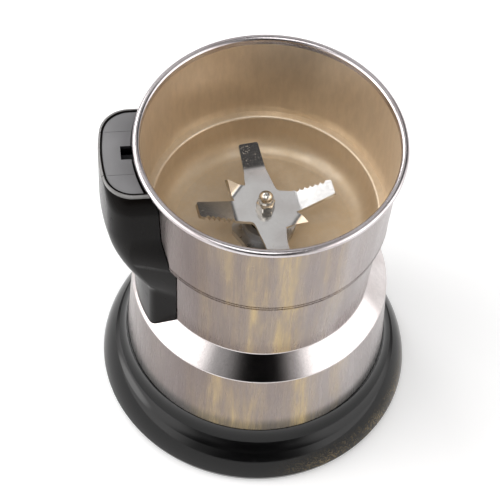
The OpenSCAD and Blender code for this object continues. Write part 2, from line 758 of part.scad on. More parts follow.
module handle_shell() {
    color(black) handle_side() difference() {
        union() {
            difference() {
                handle_body();
                handle_cavity();
            }
            handle_ribs();
            handle_ears();
        }
        shoulder_cutter();
        block(0, base_r, -base_r, base_r, handle_top_z, handle_top_z + 2 * cut);
        translate([0, 0, recess_z]) linear_extrude(plate_t + 2) polygon(handle_plan(
            neck_foot_r, handle_ro, half_w(handle_top_z), corner_r(handle_top_z), border_w));
        block(slot_u0, slot_u1, -slot_w / 2, slot_w / 2, guide_z - cut, handle_top_z + cut);
        block(rod_low_u0 - 1, rod_low_u1 + moving_gap, -rod_half_w - moving_gap, rod_half_w + moving_gap,
            low_guide_z - cut, low_guide_z + guide_t + cut);
        for (s = [-1, 1]) translate([upper_screw_u, s * upper_screw_v, 0]) {
            post(m3_r + press_gap, bracket_tab_z, recess_z + cut);
            post(m3_head_r + seat_gap, recess_z - head_h - 0.4, recess_z + cut);
        }
        for (s = [-1, 1]) radial(s * lower_screw_angle, lower_screw_z)
            post(m3_r + press_gap, neck_foot_r - 2, tail_ro - 1.6);
    }
}

// The band of the handle's top between two distances from its centre line
module top_piece(v0, v1) {
    intersection() {
        translate([0, 0, recess_z]) linear_extrude(plate_t) polygon(handle_plan(
            rim_r + 0.4, handle_ro, half_w(handle_top_z), corner_r(handle_top_z), border_w + seat_gap));
        block(rim_r - 20, handle_ro, v0, v1, recess_z - cut, handle_top_z + cut);
    }
}

module handle_top_plate() {
    color(grey_plastic) handle_side() difference() {
        top_piece(-seam_v + seat_gap / 2, seam_v - seat_gap / 2);
        block(slot_u0 - 5, slot_u1, -slot_w / 2, slot_w / 2, recess_z - cut, handle_top_z + cut);
    }
}

module handle_top_caps() {
    color(grey_plastic) handle_side() {
        top_piece(seam_v + seat_gap / 2, handle_half_w);
        top_piece(-handle_half_w, -seam_v - seat_gap / 2);
    }
}

module handle_bracket() {
    strip_z = bracket_tab_z - 8;
    strip_half_w = handle_half_w - handle_wall - 2;
    reach = asin(strip_half_w / (band_r(bracket_tab_z) + bracket_sheet));
    color(steel) handle_side() difference() {
        union() {
            rotate([0, 0, -reach]) rotate_extrude(angle = 2 * reach, $fn = 144) polygon([
                [band_r(strip_z) + press_gap, strip_z],
                [band_r(strip_z) + bracket_sheet, strip_z],
                [band_r(bracket_tab_z + bracket_sheet) + bracket_sheet, bracket_tab_z + bracket_sheet],
                [band_r(bracket_tab_z + bracket_sheet) + press_gap, bracket_tab_z + bracket_sheet]]);
            for (s = [-1, 1]) difference() {
                translate([0, s * upper_screw_v, 0])
                    block(step_r - 2, upper_screw_u + 3.5, -3, 3,
                        bracket_tab_z, bracket_tab_z + bracket_sheet);
                post(band_r(bracket_tab_z) + 0.4, 0, rim_z);
            }
        }
        for (s = [-1, 1]) translate([upper_screw_u, s * upper_screw_v, 0])
            post(m3_r + press_gap, bracket_tab_z - cut, bracket_tab_z + 3);
        block(step_r, handle_ro, -rod_half_w - 1, rod_half_w + 1, strip_z - cut, strip_z + 3);
    }
}

module handle_upper_screws() {
    color(bright_steel) handle_side() for (s = [-1, 1])
        translate([upper_screw_u, s * upper_screw_v, recess_z - head_h - 0.4])
            screw(m3_r, m3_head_r, head_h, recess_z - head_h - bracket_tab_z + 2);
}

module handle_lower_screws() {
    head_at = neck_r(lower_screw_z) - housing_sheet - 0.2;
    color(bright_steel) handle_side() for (s = [-1, 1]) radial(s * lower_screw_angle, lower_screw_z)
        translate([0, 0, head_at]) mirror([0, 0, 1]) screw(m3_r, m3_head_r, head_h, tail_ro - 2 - head_at);
}

// --- Interlock -----------------------------------------------------------------------------

lever_t = 0.5;
lever_rest = asin(press_travel / lever_arm);
nose_half = 1;
switch_u0 = spigot_in_r - 6.8;
switch_u1 = switch_u0 + 5.6;
switch_v0 = lever_arm - 18;
switch_v1 = lever_arm + 2;
switch_h = 10;
switch_top_z = shoulder_z - 5.4;
switch_z = switch_top_z - switch_h;
pivot_z = switch_top_z + 0.6;
lever_u0 = switch_u0 + 0.8;
lever_u1 = switch_u1 - 0.4;
roll_r = 0.8;
button_r = 1;
button_v = lever_arm - button_arm;
button_top_z = pivot_z + (button_arm - button_r) * tan(lever_rest) - lever_t / 2 / cos(lever_rest)
    - moving_gap;
rod_z = pivot_z + (lever_arm + nose_half) * tan(lever_rest) + lever_t / 2 / cos(lever_rest) + moving_gap;

rod_jog_u0 = step_r + 0.7;
rod_jog_u1 = rod_jog_u0 + 1.8;

function rod_outline() = [
    [rod_head_u0, rod_head_z], [rod_head_u1, rod_head_z], [rod_head_u1, spring_top_z],
    [rod_jog_u1, spring_top_z], [rod_jog_u1, step_z + 1], [rod_low_u1, step_z - 3],
    [rod_low_u1, rod_z + 4], [rod_low_u0, rod_z + 4], [rod_low_u0, step_z - 3],
    [rod_jog_u0, step_z + 0.8], [band_r(spring_top_z + 3) + 0.7, spring_top_z + 1.4],
    [rod_head_u0, spring_top_z + 3.4]];

module interlock_rod() {
    color(black) handle_side() {
        rotate([90, 0, 0]) translate([0, 0, -rod_half_w]) linear_extrude(2 * rod_half_w)
            polygon(rod_outline());
        block(rod_low_u0, rod_low_u1, -nose_half, nose_half, rod_z, rod_z + 4.2);
    }
}

module interlock_spring() {
    color(bright_steel) handle_side() translate([spring_u, 0, spring_seat_z + press_gap])
        coil_spring(spring_r, spring_wire_r, spring_top_z - spring_seat_z - 2 * press_gap, 6);
}

switch_screw_vs = [switch_v0 + 5, switch_v1 - 5];
switch_screw_z = switch_z + 2.6;
switch_screw_r = 0.95;

// A bore along the handle's direction, from u0 to u1
module cross_bore(r, u0, u1, v, z) translate([0, v, 0]) radial(0, z) post(r, u0, u1);

module switch_body() {
    color(black) handle_side() difference() {
        block(switch_u0, switch_u1, switch_v0, switch_v1, switch_z, switch_top_z);
        translate([(lever_u0 + lever_u1) / 2, button_v, 0])
            post(button_r + 0.2, button_top_z - 5.6, switch_top_z + cut);
        cross_bore(roll_r + moving_gap, switch_u0 - cut, switch_u1 + cut, lever_arm, pivot_z);
        for (v = switch_screw_vs)
            cross_bore(switch_screw_r + seat_gap, switch_u0 - cut, switch_u1 + cut, v, switch_screw_z);
    }
}

module switch_lever() {
    color(bright_steel) handle_side() {
        cross_bore(roll_r, lever_u0, lever_u1, lever_arm, pivot_z);
        translate([0, lever_arm, pivot_z]) rotate([-lever_rest, 0, 0])
            block(lever_u0, lever_u1, -(lever_arm + 1.6) / cos(lever_rest), 0, -lever_t / 2, lever_t / 2);
    }
}

module switch_button() {
    color([0.7, 0.12, 0.1]) handle_side() translate([(lever_u0 + lever_u1) / 2, button_v, 0])
        post(button_r, button_top_z - 4, button_top_z);
}

terminal_h = 4;
terminal_vs = [switch_v0 + 3, (switch_v0 + switch_v1) / 2, switch_v1 - 3];

module switch_terminals() {
    color(brass) handle_side() for (v = terminal_vs)
        block(switch_u0 + 2.4, switch_u0 + 3, v - 1.2, v + 1.2, switch_z - terminal_h, switch_z);
}

bracket_plate_t = 1.2;

module switch_bracket() {
    color(steel) handle_side() difference() {
        union() {
            block(switch_u0 - bracket_plate_t, switch_u0, switch_v0 + 1, switch_v1 - 1,
                post_top_z, switch_z + 6);
            block(switch_u0 - bracket_plate_t, switch_u1, -post_half_w, post_half_w,
                post_top_z, post_top_z + bracket_plate_t);
        }
        for (v = switch_screw_vs)
            cross_bore(switch_screw_r + press_gap, switch_u0 - bracket_plate_t - cut, switch_u1, v,
                switch_screw_z);
        translate([post_screw_u, 0, 0]) post(m3_r + press_gap, post_top_z - cut, switch_z);
    }
}

module switch_screws() {
    color(bright_steel) handle_side() {
        for (v = switch_screw_vs) {
            cross_bore(switch_screw_r, switch_u0 - 2, switch_u1 + 0.5, v, switch_screw_z);
            cross_bore(switch_screw_r + 0.9, switch_u1, switch_u1 + 0.9, v, switch_screw_z);
        }
        translate([post_screw_u, 0, post_top_z + bracket_plate_t])
            screw(m3_r, m3_head_r, 1.6, 6);
    }
}

// --- Motor, fixed parts --------------------------------------------------------------------

bore_r = armature_r + air_gap;
shoe_r = bore_r + 2.4;
coil_in_r = shoe_r + moving_gap;
coil_out_r = core_r - 8;
window_r = coil_out_r + moving_gap;
pole_half_w = 13.2;
coil_half_w = 20.6;
flat_y = core_r - 3.5;

module stator_core() {
    color(lamination) difference() {
        union() {
            difference() {
                intersection() {
                    post(core_r, core_z, core_top_z);
                    block(-core_r, core_r, -flat_y, flat_y, core_z - cut, core_top_z + cut);
                }
                post(window_r, core_z - cut, core_top_z + cut);
            }
            for (s = [0, 180]) rotate([0, 0, s]) {
                block(-pole_half_w, pole_half_w, bore_r - 2, window_r, core_z, core_top_z);
                intersection() {
                    post(shoe_r, core_z, core_top_z);
                    block(-shoe_r, shoe_r, shoe_r * 0.42, shoe_r, core_z, core_top_z);
                }
            }
        }
        post(bore_r, core_z - cut, core_top_z + cut);
        around([0, 180], bolt_ring_r) post(m4_r + seat_gap, core_z - cut, core_top_z + cut);
    }
}

module field_coils() {
    color(copper) for (s = [0, 180]) rotate([0, 0, s]) difference() {
        intersection() {
            tube(coil_out_r, coil_in_r, core_z - winding_h, core_top_z + winding_h);
            block(-coil_half_w, coil_half_w, 4, core_r, core_z - winding_h, core_top_z + winding_h);
        }
        block(-pole_half_w - moving_gap, pole_half_w + moving_gap, 0, core_r,
            core_z - moving_gap, core_top_z + moving_gap);
    }
}

leg_half_w = 5.5;
leg_in_r = fan_r + 2;

module upper_bracket() {
    color([0.55, 0.56, 0.58]) difference() {
        union() {
            post(turret_r + 8, bracket_z, bracket_top_z);
            post(turret_r, bracket_top_z - 0.5, turret_top_z);
            intersection() {
                union() {
                    block(-core_r, core_r, -leg_half_w - 1, leg_half_w + 1, bracket_z, bracket_top_z);
                    for (s = [0, 180]) rotate([0, 0, s])
                        block(leg_in_r, core_r, -leg_half_w, leg_half_w, core_top_z, bracket_top_z - 1);
                }
                post(core_r, core_z, rim_z);
            }
        }
        post(bush_r + press_gap, bracket_z - cut, turret_top_z + cut);
        around([0, 180], bolt_ring_r) {
            post(m4_r + seat_gap, core_top_z - cut, bracket_top_z + cut);
            post(m4_head_r + seat_gap, bracket_top_z - head_h - 0.4, bracket_top_z + cut);
        }
    }
}

module lower_bracket() {
    color(black) difference() {
        union() {
            post(core_r, plate_z, plate_top_z);
            post(bush_r + 2.4, bearing_cup_z, plate_top_z + 2);
            around([0, 180], bolt_ring_r) post(m4_r + 1.6, plate_z, core_z);
            around(leg_angles, leg_ring_r) post(4.4, cover_top_z + mount_h, plate_top_z);
        }
        post(bush_r + press_gap, shaft_z - moving_gap, plate_top_z + 2 + cut);
        around([0, 180], bolt_ring_r) post(m4_r + seat_gap, plate_z - cut, core_z + cut);
        around(leg_angles, leg_ring_r) post(m3_r + press_gap, cover_top_z, plate_top_z - 1.5);
        around(leg_angles, 17.5) post(4.6, plate_z - cut, plate_top_z + cut);
    }
}

module lower_bearing() {
    color(brass) tube(bush_r, shaft_r + running_gap, shaft_z + 0.9, plate_top_z + 2);
}

module motor_bolts() {
    head_at = bracket_top_z - head_h - 0.4;
    color(bright_steel) around([0, 180], bolt_ring_r) {
        translate([0, 0, head_at]) screw(m4_r, m4_head_r, head_h, head_at - plate_z + 3.4);
        difference() {
            hex_post(7, plate_z - 2.8, plate_z);
            post(m4_r - 0.2, plate_z - 4, plate_z + cut);
        }
    }
}

brush_half_w = 2.5;
brush_half_h = 3.4;
brush_z = commutator_z + commutator_h / 2 - 0.6;
holder_in_y = commutator_r + 1.8;
holder_len = 14.5;
brush_len = 11.2;
holder_y = holder_in_y + holder_len;
brush_y = commutator_r - 1 + brush_len;

module brush_holders() {
    color([0.30, 0.22, 0.16]) for (s = [0, 180]) rotate([0, 0, s]) difference() {
        block(-brush_half_w - 2, brush_half_w + 2, holder_in_y, holder_y, plate_top_z,
            brush_z + brush_half_h + 1.6);
        block(-brush_half_w - seat_gap, brush_half_w + seat_gap, holder_in_y - cut, holder_y + cut,
            brush_z - brush_half_h - seat_gap, brush_z + brush_half_h + seat_gap);
    }
}

module carbon_brushes() {
    color([0.13, 0.13, 0.14]) for (s = [0, 180]) rotate([0, 0, s]) difference() {
        block(-brush_half_w, brush_half_w, commutator_r - 1, brush_y, brush_z - brush_half_h,
            brush_z + brush_half_h);
        post(commutator_r + moving_gap, commutator_z - cut, commutator_top_z + cut);
    }
}

module brush_springs() {
    color(brass) for (s = [0, 180]) rotate([0, 0, s]) translate([0, brush_y + press_gap, brush_z])
        rotate([-90, 0, 0]) coil_spring(1.9, 0.25, holder_y - brush_y - 2 * press_gap, 4);
}

module brush_caps() {
    color(brass) for (s = [0, 180]) rotate([0, 0, s])
        block(-brush_half_w - 1.6, brush_half_w + 1.6, holder_y, holder_y + 0.8,
            brush_z - brush_half_h - 1.4, brush_z + brush_half_h + 1.4);
}

// --- Motor, turning parts ------------------------------------------------------------------

module motor_shaft() {
    color(bright_steel) {
        post(shaft_r, shaft_z, blade_z - spacer_top_t);
        post(thread_r, blade_z - spacer_top_t - 0.5, blade_top_z + nut_h - 2.2);
    }
}

slot_count = 12;
slot_gap = 0.1;

module armature_core() {
    color(lamination) difference() {
        tube(armature_r, shaft_r + press_gap, core_z, core_top_z);
        for (i = [0:slot_count - 1]) rotate([0, 0, 360 * i / slot_count])
            block(armature_r - 5, armature_r + cut, -0.9, 0.9, core_z - cut, core_top_z + cut);
    }
}

module winding_head(z0, z1) {
    rotate_extrude() polygon([[shaft_r + 2.2, z0], [armature_r - 2.4, z0], [armature_r - 1, z0 + 1.6],
        [armature_r - 1, z1 - 1.6], [armature_r - 2.4, z1], [shaft_r + 2.2, z1]]);
}

module armature_winding() {
    color(copper) {
        winding_head(core_top_z + slot_gap, core_top_z + winding_h);
        winding_head(core_z - winding_h, core_z - slot_gap);
        for (i = [0:slot_count - 1]) rotate([0, 0, 360 * i / slot_count])
            block(armature_r - 4.9, armature_r - 1.2, -0.8, 0.8, core_z - 2, core_top_z + 2);
    }
}

module commutator() {
    color(copper) difference() {
        union() {
            tube(commutator_r, shaft_r + press_gap, commutator_z, commutator_top_z);
            tube(commutator_r + 1.2, shaft_r + press_gap, commutator_top_z - 1.4, commutator_top_z);
        }
        for (i = [0:slot_count - 1]) rotate([0, 0, 360 * (i + 0.5) / slot_count])
            block(commutator_r - 1.2, commutator_r + 3, -0.3, 0.3,
                commutator_z - cut, commutator_top_z + cut);
    }
}

fan_blades = 11;

module cooling_fan() {
    color(grey_plastic) difference() {
        union() {
            post(6, fan_z, fan_top_z);
            post(fan_r, fan_top_z - 1.4, fan_top_z);
            for (i = [0:fan_blades - 1]) rotate([0, 0, 360 * i / fan_blades])
                block(5.5, fan_r - 0.6, -0.6, 0.6, fan_z, fan_top_z - 1);
        }
        post(shaft_r + press_gap, fan_z - cut, fan_top_z + cut);
    }
}

// --- Electrics in the base -----------------------------------------------------------------

fuse_r = 2;
fuse_z = core_top_z - core_h / 3;
block_y = 34;
capacitor_y = -45;

module thermal_fuse() {
    color(bright_steel) translate([0, flat_y + fuse_r + press_gap, fuse_z]) rotate([0, 90, 0]) {
        post(fuse_r, -5, 5);
        post(0.5, -8, 8);
    }
}

module interference_capacitor() {
    color([0.75, 0.62, 0.22]) translate([0, capacitor_y, cover_top_z]) block(-9, 9, 0, 7.5, 0, 13);
}

module terminal_block() {
    color([0.85, 0.84, 0.80]) translate([0, block_y, cover_top_z]) difference() {
        union() {
            block(-12, 12, 0, 9, 0, 5);
            block(-12, 12, 1.5, 7.5, 4.8, 9);
        }
        for (x = [-8, 0, 8]) translate([x, 0, 3]) rotate([-90, 0, 0]) post(1.4, -cut, 10);
        for (x = [-8, 0, 8]) translate([x, 4.5, 0]) post(1.2, 6, 10);
    }
}

// Routes of the internal leads between the pieces they join
lead_r = 0.8;
block_end = [8, block_y - 0.6, cover_top_z + 3];
terminal_end = [-switch_u0 - 2.94, -terminal_vs[0], switch_z - terminal_h - 0.1];
third_terminal_end = [terminal_end[0], -terminal_vs[2], terminal_end[2]];
fuse_end = [8.05, flat_y + fuse_r, fuse_z];
coil_foot = [-0.836 * (coil_out_r - 2.26), -0.55 * (coil_out_r - 2.26), core_z - winding_h - 0.1];
coil_side = [-0.4865 * (coil_out_r + 0.18), 0.8737 * (coil_out_r + 0.18), core_top_z + winding_h - 3.1];
function mirrored_x(p) = [-p[0], p[1], p[2]];
block_to_switch = concat([for (d = [[0, 0, 0], [-1, -2, 0], [-6, -0.8, 1.5], [-14, 0.6, 5]])
    mirrored_x(block_end) + d],
    [for (d = [[13.9, 22, -18.9], [6.4, 14, -8.9], [0.9, 3, -4.9], [0, 0, -2.1], [0, 0, 0]])
    terminal_end + d]);
switch_to_coil = concat([for (d = [[0, 0, 0], [0, 0, -2.1], [2.9, -4, -5.9], [10.9, -10, -7.9]])
    third_terminal_end + d],
    [for (d = [[-5, -3.5, -2.6], [-0.2, -0.1, -2], [0, 0, 0]]) coil_foot + d]);
block_to_fuse = concat([for (d = [[0, 0, 0], [1, -2, 0.2], [6, 0.6, 2], [7, 3.1, 9]]) block_end + d],
    [for (d = [[6.95, 4.5, -26.1], [5.95, 3.5, -12.1], [3.95, 0.7, -1.5], [0, 0, 0]]) fuse_end + d]);
fuse_to_coil = concat([for (d = [[0, 0, 0], [-2.45, 0.2, 0.9], [-4.95, -0.1, 4.9]])
    mirrored_x(fuse_end) + d],
    [for (d = [[-1.15, 6.4, -1], [0, 0, 0]]) coil_side + d]);

module lead_wires() {
    color([0.75, 0.15, 0.12]) for (route = [block_to_switch, switch_to_coil, block_to_fuse, fuse_to_coil])
        sweep(concat(smooth(route), [last(route)]), lead_r, 8);
}

grinding_cup();
turret_nut();
floor_gasket();
shaft_seal();
upper_bearing();
blade_spacer();
blade();
dome_nut();
motor_housing();
base_ring();
bottom_cover();
base_screws();
tie_screws();
motor_mounts();
rubber_feet();
cord_grommet();
handle_shell();
handle_top_plate();
handle_top_caps();
handle_bracket();
handle_upper_screws();
handle_lower_screws();
interlock_rod();
interlock_spring();
switch_body();
switch_lever();
switch_button();
switch_terminals();
switch_bracket();
switch_screws();
stator_core();
field_coils();
upper_bracket();
lower_bracket();
motor_bolts();
motor_shaft();
armature_core();
armature_winding();
commutator();
cooling_fan();
lower_bearing();
brush_holders();
carbon_brushes();
brush_springs();
brush_caps();
thermal_fuse();
interference_capacitor();
terminal_block();
lead_wires();
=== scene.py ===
"""Looks of the electric grain mill: steel cup and motor housing, black base ring and handle, blade,
and finishes for every piece inside. Metres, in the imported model's own frame: Z up, handle along -X."""

from math import acos, asin, atan2, cos, degrees, hypot, pi, radians, sin, sqrt, tan

import bpy
import bmesh
from mathutils import Euler, Matrix, Vector


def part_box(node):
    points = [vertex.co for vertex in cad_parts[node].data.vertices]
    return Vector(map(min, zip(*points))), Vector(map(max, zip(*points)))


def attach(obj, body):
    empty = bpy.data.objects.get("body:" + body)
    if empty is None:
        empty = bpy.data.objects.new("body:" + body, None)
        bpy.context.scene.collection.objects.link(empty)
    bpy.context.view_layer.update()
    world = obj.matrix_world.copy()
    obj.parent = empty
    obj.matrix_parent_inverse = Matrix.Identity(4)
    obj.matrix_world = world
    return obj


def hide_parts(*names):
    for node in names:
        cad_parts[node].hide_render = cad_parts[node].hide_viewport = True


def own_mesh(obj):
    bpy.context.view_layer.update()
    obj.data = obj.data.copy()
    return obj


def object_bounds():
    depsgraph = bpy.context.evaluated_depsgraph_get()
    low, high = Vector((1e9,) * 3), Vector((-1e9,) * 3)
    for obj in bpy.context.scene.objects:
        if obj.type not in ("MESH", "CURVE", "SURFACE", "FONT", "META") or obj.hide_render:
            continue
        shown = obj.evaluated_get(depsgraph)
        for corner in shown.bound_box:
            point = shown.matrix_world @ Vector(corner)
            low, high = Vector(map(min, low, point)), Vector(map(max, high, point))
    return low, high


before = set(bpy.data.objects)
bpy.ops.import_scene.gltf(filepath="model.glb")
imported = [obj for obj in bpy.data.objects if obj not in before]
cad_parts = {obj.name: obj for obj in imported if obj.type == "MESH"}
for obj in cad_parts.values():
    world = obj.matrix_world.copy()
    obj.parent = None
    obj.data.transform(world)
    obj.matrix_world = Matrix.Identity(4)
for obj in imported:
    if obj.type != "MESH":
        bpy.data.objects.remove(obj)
cad_low, cad_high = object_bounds()

MM = 0.001

# --- Sizes, from the frame ---------------------------------------------------------------------


def top(node):
    """Highest corner of a node."""
    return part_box(node)[1]


def bottom(node):
    """Lowest corner of a node."""
    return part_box(node)[0]


RIM_R = top("grinding_cup").x
RIM_Z = top("grinding_cup").z
SKIRT_Z = bottom("motor_housing").z
SKIRT_R = top("motor_housing").x
STEP_Z = top("motor_housing").z
BASE_R = top("base_ring").x
BASE_Z = bottom("base_ring").z
SPIGOT_Z = top("base_ring").z
COVER_RIB_H = 2 * MM
COVER_TOP_Z = top("bottom_cover").z - COVER_RIB_H
HANDLE_TOP_Z = top("handle_shell").z
HANDLE_OUT_R = -bottom("handle_shell").x
HANDLE_HALF_W = top("handle_shell").y
PLATE_TOP_Z = top("handle_top_plate").z
PLATE_T = PLATE_TOP_Z - bottom("handle_top_plate").z
BLADE_Z = top("blade_spacer").z
NUT_Z = bottom("dome_nut").z
NUT_TOP_Z = top("dome_nut").z

# Cup and housing: sheet, rolled rim, band, step, neck, shoulder, and the cup's floor
SHEET = 0.8 * MM
BEAD_R = 1.45 * MM
BEAD_Z = RIM_Z - BEAD_R
BAND_TOP_R = RIM_R - 2 * BEAD_R + SHEET
BAND_TOP_Z = RIM_Z - 2 * BEAD_R - 0.2 * MM
BAND_TAPER = 1.6 * MM
STEP_R = BAND_TOP_R - BAND_TAPER
NECK_TOP_R = STEP_R - 2.2 * MM
NECK_FOOT_R = NECK_TOP_R - 1.4 * MM
NECK_Z = STEP_Z - 36 * MM
SHOULDER_R = NECK_FOOT_R + 7.7 * MM
SHOULDER_Z = NECK_Z - 8.6 * MM
CUP_FLOOR_Z = RIM_Z - 57 * MM
FLOOR_CORNER_R = 9 * MM
FLOOR_HOLE_R = 8.1 * MM

# Base ring: the crease between its hollow upper side and its flank, its spigot, and its cover
CREASE_R = SKIRT_R + 5.1 * MM
CREASE_Z = 14.6 * MM
SPIGOT_R = 50.96 * MM
SPIGOT_IN_R = SPIGOT_R - 2.2 * MM
COVER_R = BASE_R - 2.5 * MM


def band_r(z):
    """Outer radius of the cup's band, between the step and the rim."""
    return STEP_R + BAND_TAPER * (z - STEP_Z) / (BAND_TOP_Z - STEP_Z)


def neck_r(z):
    """Outer radius of the housing's neck, between the shoulder and the step."""
    return NECK_FOOT_R + (NECK_TOP_R - NECK_FOOT_R) * (z - NECK_Z) / (STEP_Z - NECK_Z)


def shoulder_z(r):
    """Height of the housing's shoulder at a radius."""
    return SHOULDER_Z + (NECK_Z - SHOULDER_Z) * (SHOULDER_R - r) / (SHOULDER_R - NECK_FOOT_R)


# --- Outlines ----------------------------------------------------------------------------------


def arc(centre, r, a0, a1, n):
    """n + 1 points of an arc in degrees, round a centre in the plane."""
    angles = [radians(a0 + (a1 - a0) * i / n) for i in range(n + 1)]
    return [(centre[0] + r * cos(a), centre[1] + r * sin(a)) for a in angles]


def circle(r, sides):
    """Points round the drive axis."""
    turns = [2 * pi * k / sides for k in range(sides)]
    return [(r * cos(a), r * sin(a)) for a in turns]


def steps(a, b, n):
    """n values from a on towards b, without b."""
    return [a + (b - a) * i / n for i in range(n)]


def rounded(path, radii):
    """The path with its inner corners rounded by the radii given, in ten facets each."""
    out = []
    for i, (p, r) in enumerate(zip(path, radii)):
        if not r:
            out.append(p)
            continue
        b = Vector(p)
        u = (Vector(path[i - 1]) - b).normalized()
        w = (Vector(path[i + 1]) - b).normalized()
        half = acos(max(-1, min(1, u.dot(w)))) / 2
        centre = b + (u + w).normalized() * (r / sin(half))
        start = b + u * (r / tan(half)) - centre
        end = b + w * (r / tan(half)) - centre
        a0 = degrees(atan2(start.y, start.x))
        turn = (degrees(atan2(end.y, end.x)) - a0 + 540) % 360 - 180
        out += arc(centre, r, a0, a0 + turn, 10)
    return out


def moved_right(path, t):
    """The path moved to its right by t, with mitred corners."""
    out = []
    last = len(path) - 1
    for i, p in enumerate(path):
        j, k = max(i, 1), min(i, last - 1)
        before = (Vector(path[j]) - Vector(path[j - 1])).normalized()
        after = (Vector(path[k + 1]) - Vector(path[k])).normalized()
        before, after = Vector((before.y, -before.x)), Vector((after.y, -after.x))
        mitre = (before + after).normalized()
        out.append(tuple(Vector(p) + mitre * (t / mitre.dot(before))))
    return out


# --- Meshes ------------------------------------------------------------------------------------


def shade(mesh, sharp):
    """Smooth shading, with edges sharper than an angle kept crisp."""
    mesh.shade_smooth()
    mesh.set_sharp_from_angle(angle=radians(sharp))


def piece(name, mesh, materials, sharp=35):
    """A shaded object from a mesh."""
    obj = bpy.data.objects.new(name, mesh)
    bpy.context.scene.collection.objects.link(obj)
    for material in materials:
        mesh.materials.append(material)
    shade(mesh, sharp)
    return obj


def mesh_of(name, points, faces):
    """A mesh from points and faces."""
    mesh = bpy.data.meshes.new(name)
    mesh.from_pydata(points, [], faces)
    mesh.validate()
    return mesh


ROUND_SIDES = 256
HOLE_SIDES = 32


def lathe_mesh(name, outline):
    """A closed outline of (radius, height) points turned round the Z axis."""
    n = len(outline)
    turns = [2 * pi * k / ROUND_SIDES for k in range(ROUND_SIDES)]
    points = [(r * cos(a), r * sin(a), z) for a in turns for r, z in outline]
    faces = []
    for k in range(ROUND_SIDES):
        a, b = k * n, (k + 1) % ROUND_SIDES * n
        faces += [(a + i, b + i, b + (i + 1) % n, a + (i + 1) % n) for i in range(n)]
    mesh = mesh_of(name, points, faces)
    face_outwards(mesh)
    return mesh


def face_outwards(mesh):
    """Turns the faces of a closed mesh outwards."""
    work = bmesh.new()
    work.from_mesh(mesh)
    bmesh.ops.recalc_face_normals(work, faces=work.faces)
    work.to_mesh(mesh)
    work.free()


def loft_mesh(name, rings):
    """A closed solid through rings of equally many points."""
    n = len(rings[0])
    points = [p for ring in rings for p in ring]
    faces = [tuple(range(n))[::-1], tuple(range((len(rings) - 1) * n, len(rings) * n))]
    for i in range(len(rings) - 1):
        a, b = i * n, (i + 1) * n
        faces += [(a + k, a + (k + 1) % n, b + (k + 1) % n, b + k) for k in range(n)]
    mesh = mesh_of(name, points, faces)
    face_outwards(mesh)
    return mesh


def cut_with(obj, cutters):
    """Cuts the object with meshes and leaves the result in its own mesh."""
    helpers = []
    for i, mesh in enumerate(cutters):
        helper = bpy.data.objects.new(f"{obj.name}_cutter_{i}", mesh)
        bpy.context.scene.collection.objects.link(helper)
        modifier = obj.modifiers.new(helper.name, "BOOLEAN")
        modifier.operation = "DIFFERENCE"
        modifier.solver = "EXACT"
        modifier.object = helper
        helpers.append(helper)
    bpy.context.view_layer.update()
    evaluated = obj.evaluated_get(bpy.context.evaluated_depsgraph_get())
    mesh = bpy.data.meshes.new_from_object(evaluated)
    obj.modifiers.clear()
    obj.data = mesh
    for helper in helpers:
        bpy.data.objects.remove(helper)


def block_mesh(low, high):
    """A box between two corners, as a cutter."""
    xs, ys, zs = zip(low, high)
    points = [(x, y, z) for x in xs for y in ys for z in zs]
    faces = [(0, 1, 3, 2), (4, 6, 7, 5), (0, 4, 5, 1), (2, 3, 7, 6), (0, 2, 6, 4), (1, 5, 7, 3)]
    mesh = mesh_of("block", points, faces)
    face_outwards(mesh)
    return mesh


def rod_mesh(start, end, r):
    """A cylinder between two points, as a cutter."""
    start, end = Vector(start), Vector(end)
    turn = (end - start).to_track_quat("Z", "Y").to_matrix()
    around = [turn @ Vector((x, y, 0)) for x, y in circle(r, HOLE_SIDES)]
    return loft_mesh("rod", [[tuple(foot + p) for p in around] for foot in (start, end)])


# --- Materials ---------------------------------------------------------------------------------


def times(factor, colour):
    """A colour made lighter or darker."""
    return tuple(factor * c for c in colour)


class Nodes:
    """A node tree built with calls that return sockets."""

    def __init__(self, tree):
        self.tree = tree

    def node(self, kind, inputs, **settings):
        """A node whose inputs are sockets to link or values to set."""
        made = self.tree.nodes.new(kind)
        for key, value in settings.items():
            setattr(made, key, value)
        for key, value in inputs.items():
            if isinstance(value, bpy.types.NodeSocket):
                self.tree.links.new(value, made.inputs[key])
            else:
                made.inputs[key].default_value = value
        return made

    def math(self, operation, a, b=0.0, c=0.0):
        """One operation on numbers or sockets."""
        return self.node("ShaderNodeMath", {0: a, 1: b, 2: c}, operation=operation).outputs[0]

    def product(self, first, *others):
        """All factors multiplied."""
        for other in others:
            first = self.math("MULTIPLY", first, other)
        return first

    def noise(self, vector, scale, detail, rough, warp=0.0):
        """Cloudy noise between 0 and 1."""
        return self.node("ShaderNodeTexNoise", {
            "Vector": vector, "Scale": scale, "Detail": detail, "Roughness": rough,
            "Distortion": warp}).outputs["Fac"]

    def ramp(self, factor, low, high, to_low=0.0, to_high=1.0, smooth=True):
        """Goes from to_low to to_high while the factor goes from low to high."""
        return self.node("ShaderNodeMapRange", {
            "Value": factor, "From Min": low, "From Max": high, "To Min": to_low, "To Max": to_high},
            interpolation_type="SMOOTHSTEP" if smooth else "LINEAR").outputs["Result"]

    def mix(self, factor, a, b, blend="MIX"):
        """Colour a blended towards b."""
        made = self.tree.nodes.new("ShaderNodeMix")
        made.data_type = "RGBA"
        made.blend_type = blend
        for index, value in ((0, factor), (6, a), (7, b)):
            if isinstance(value, bpy.types.NodeSocket):
                self.tree.links.new(value, made.inputs[index])
            else:
                made.inputs[index].default_value = (*value, 1) if isinstance(value, tuple) else value
        return made.outputs[2]


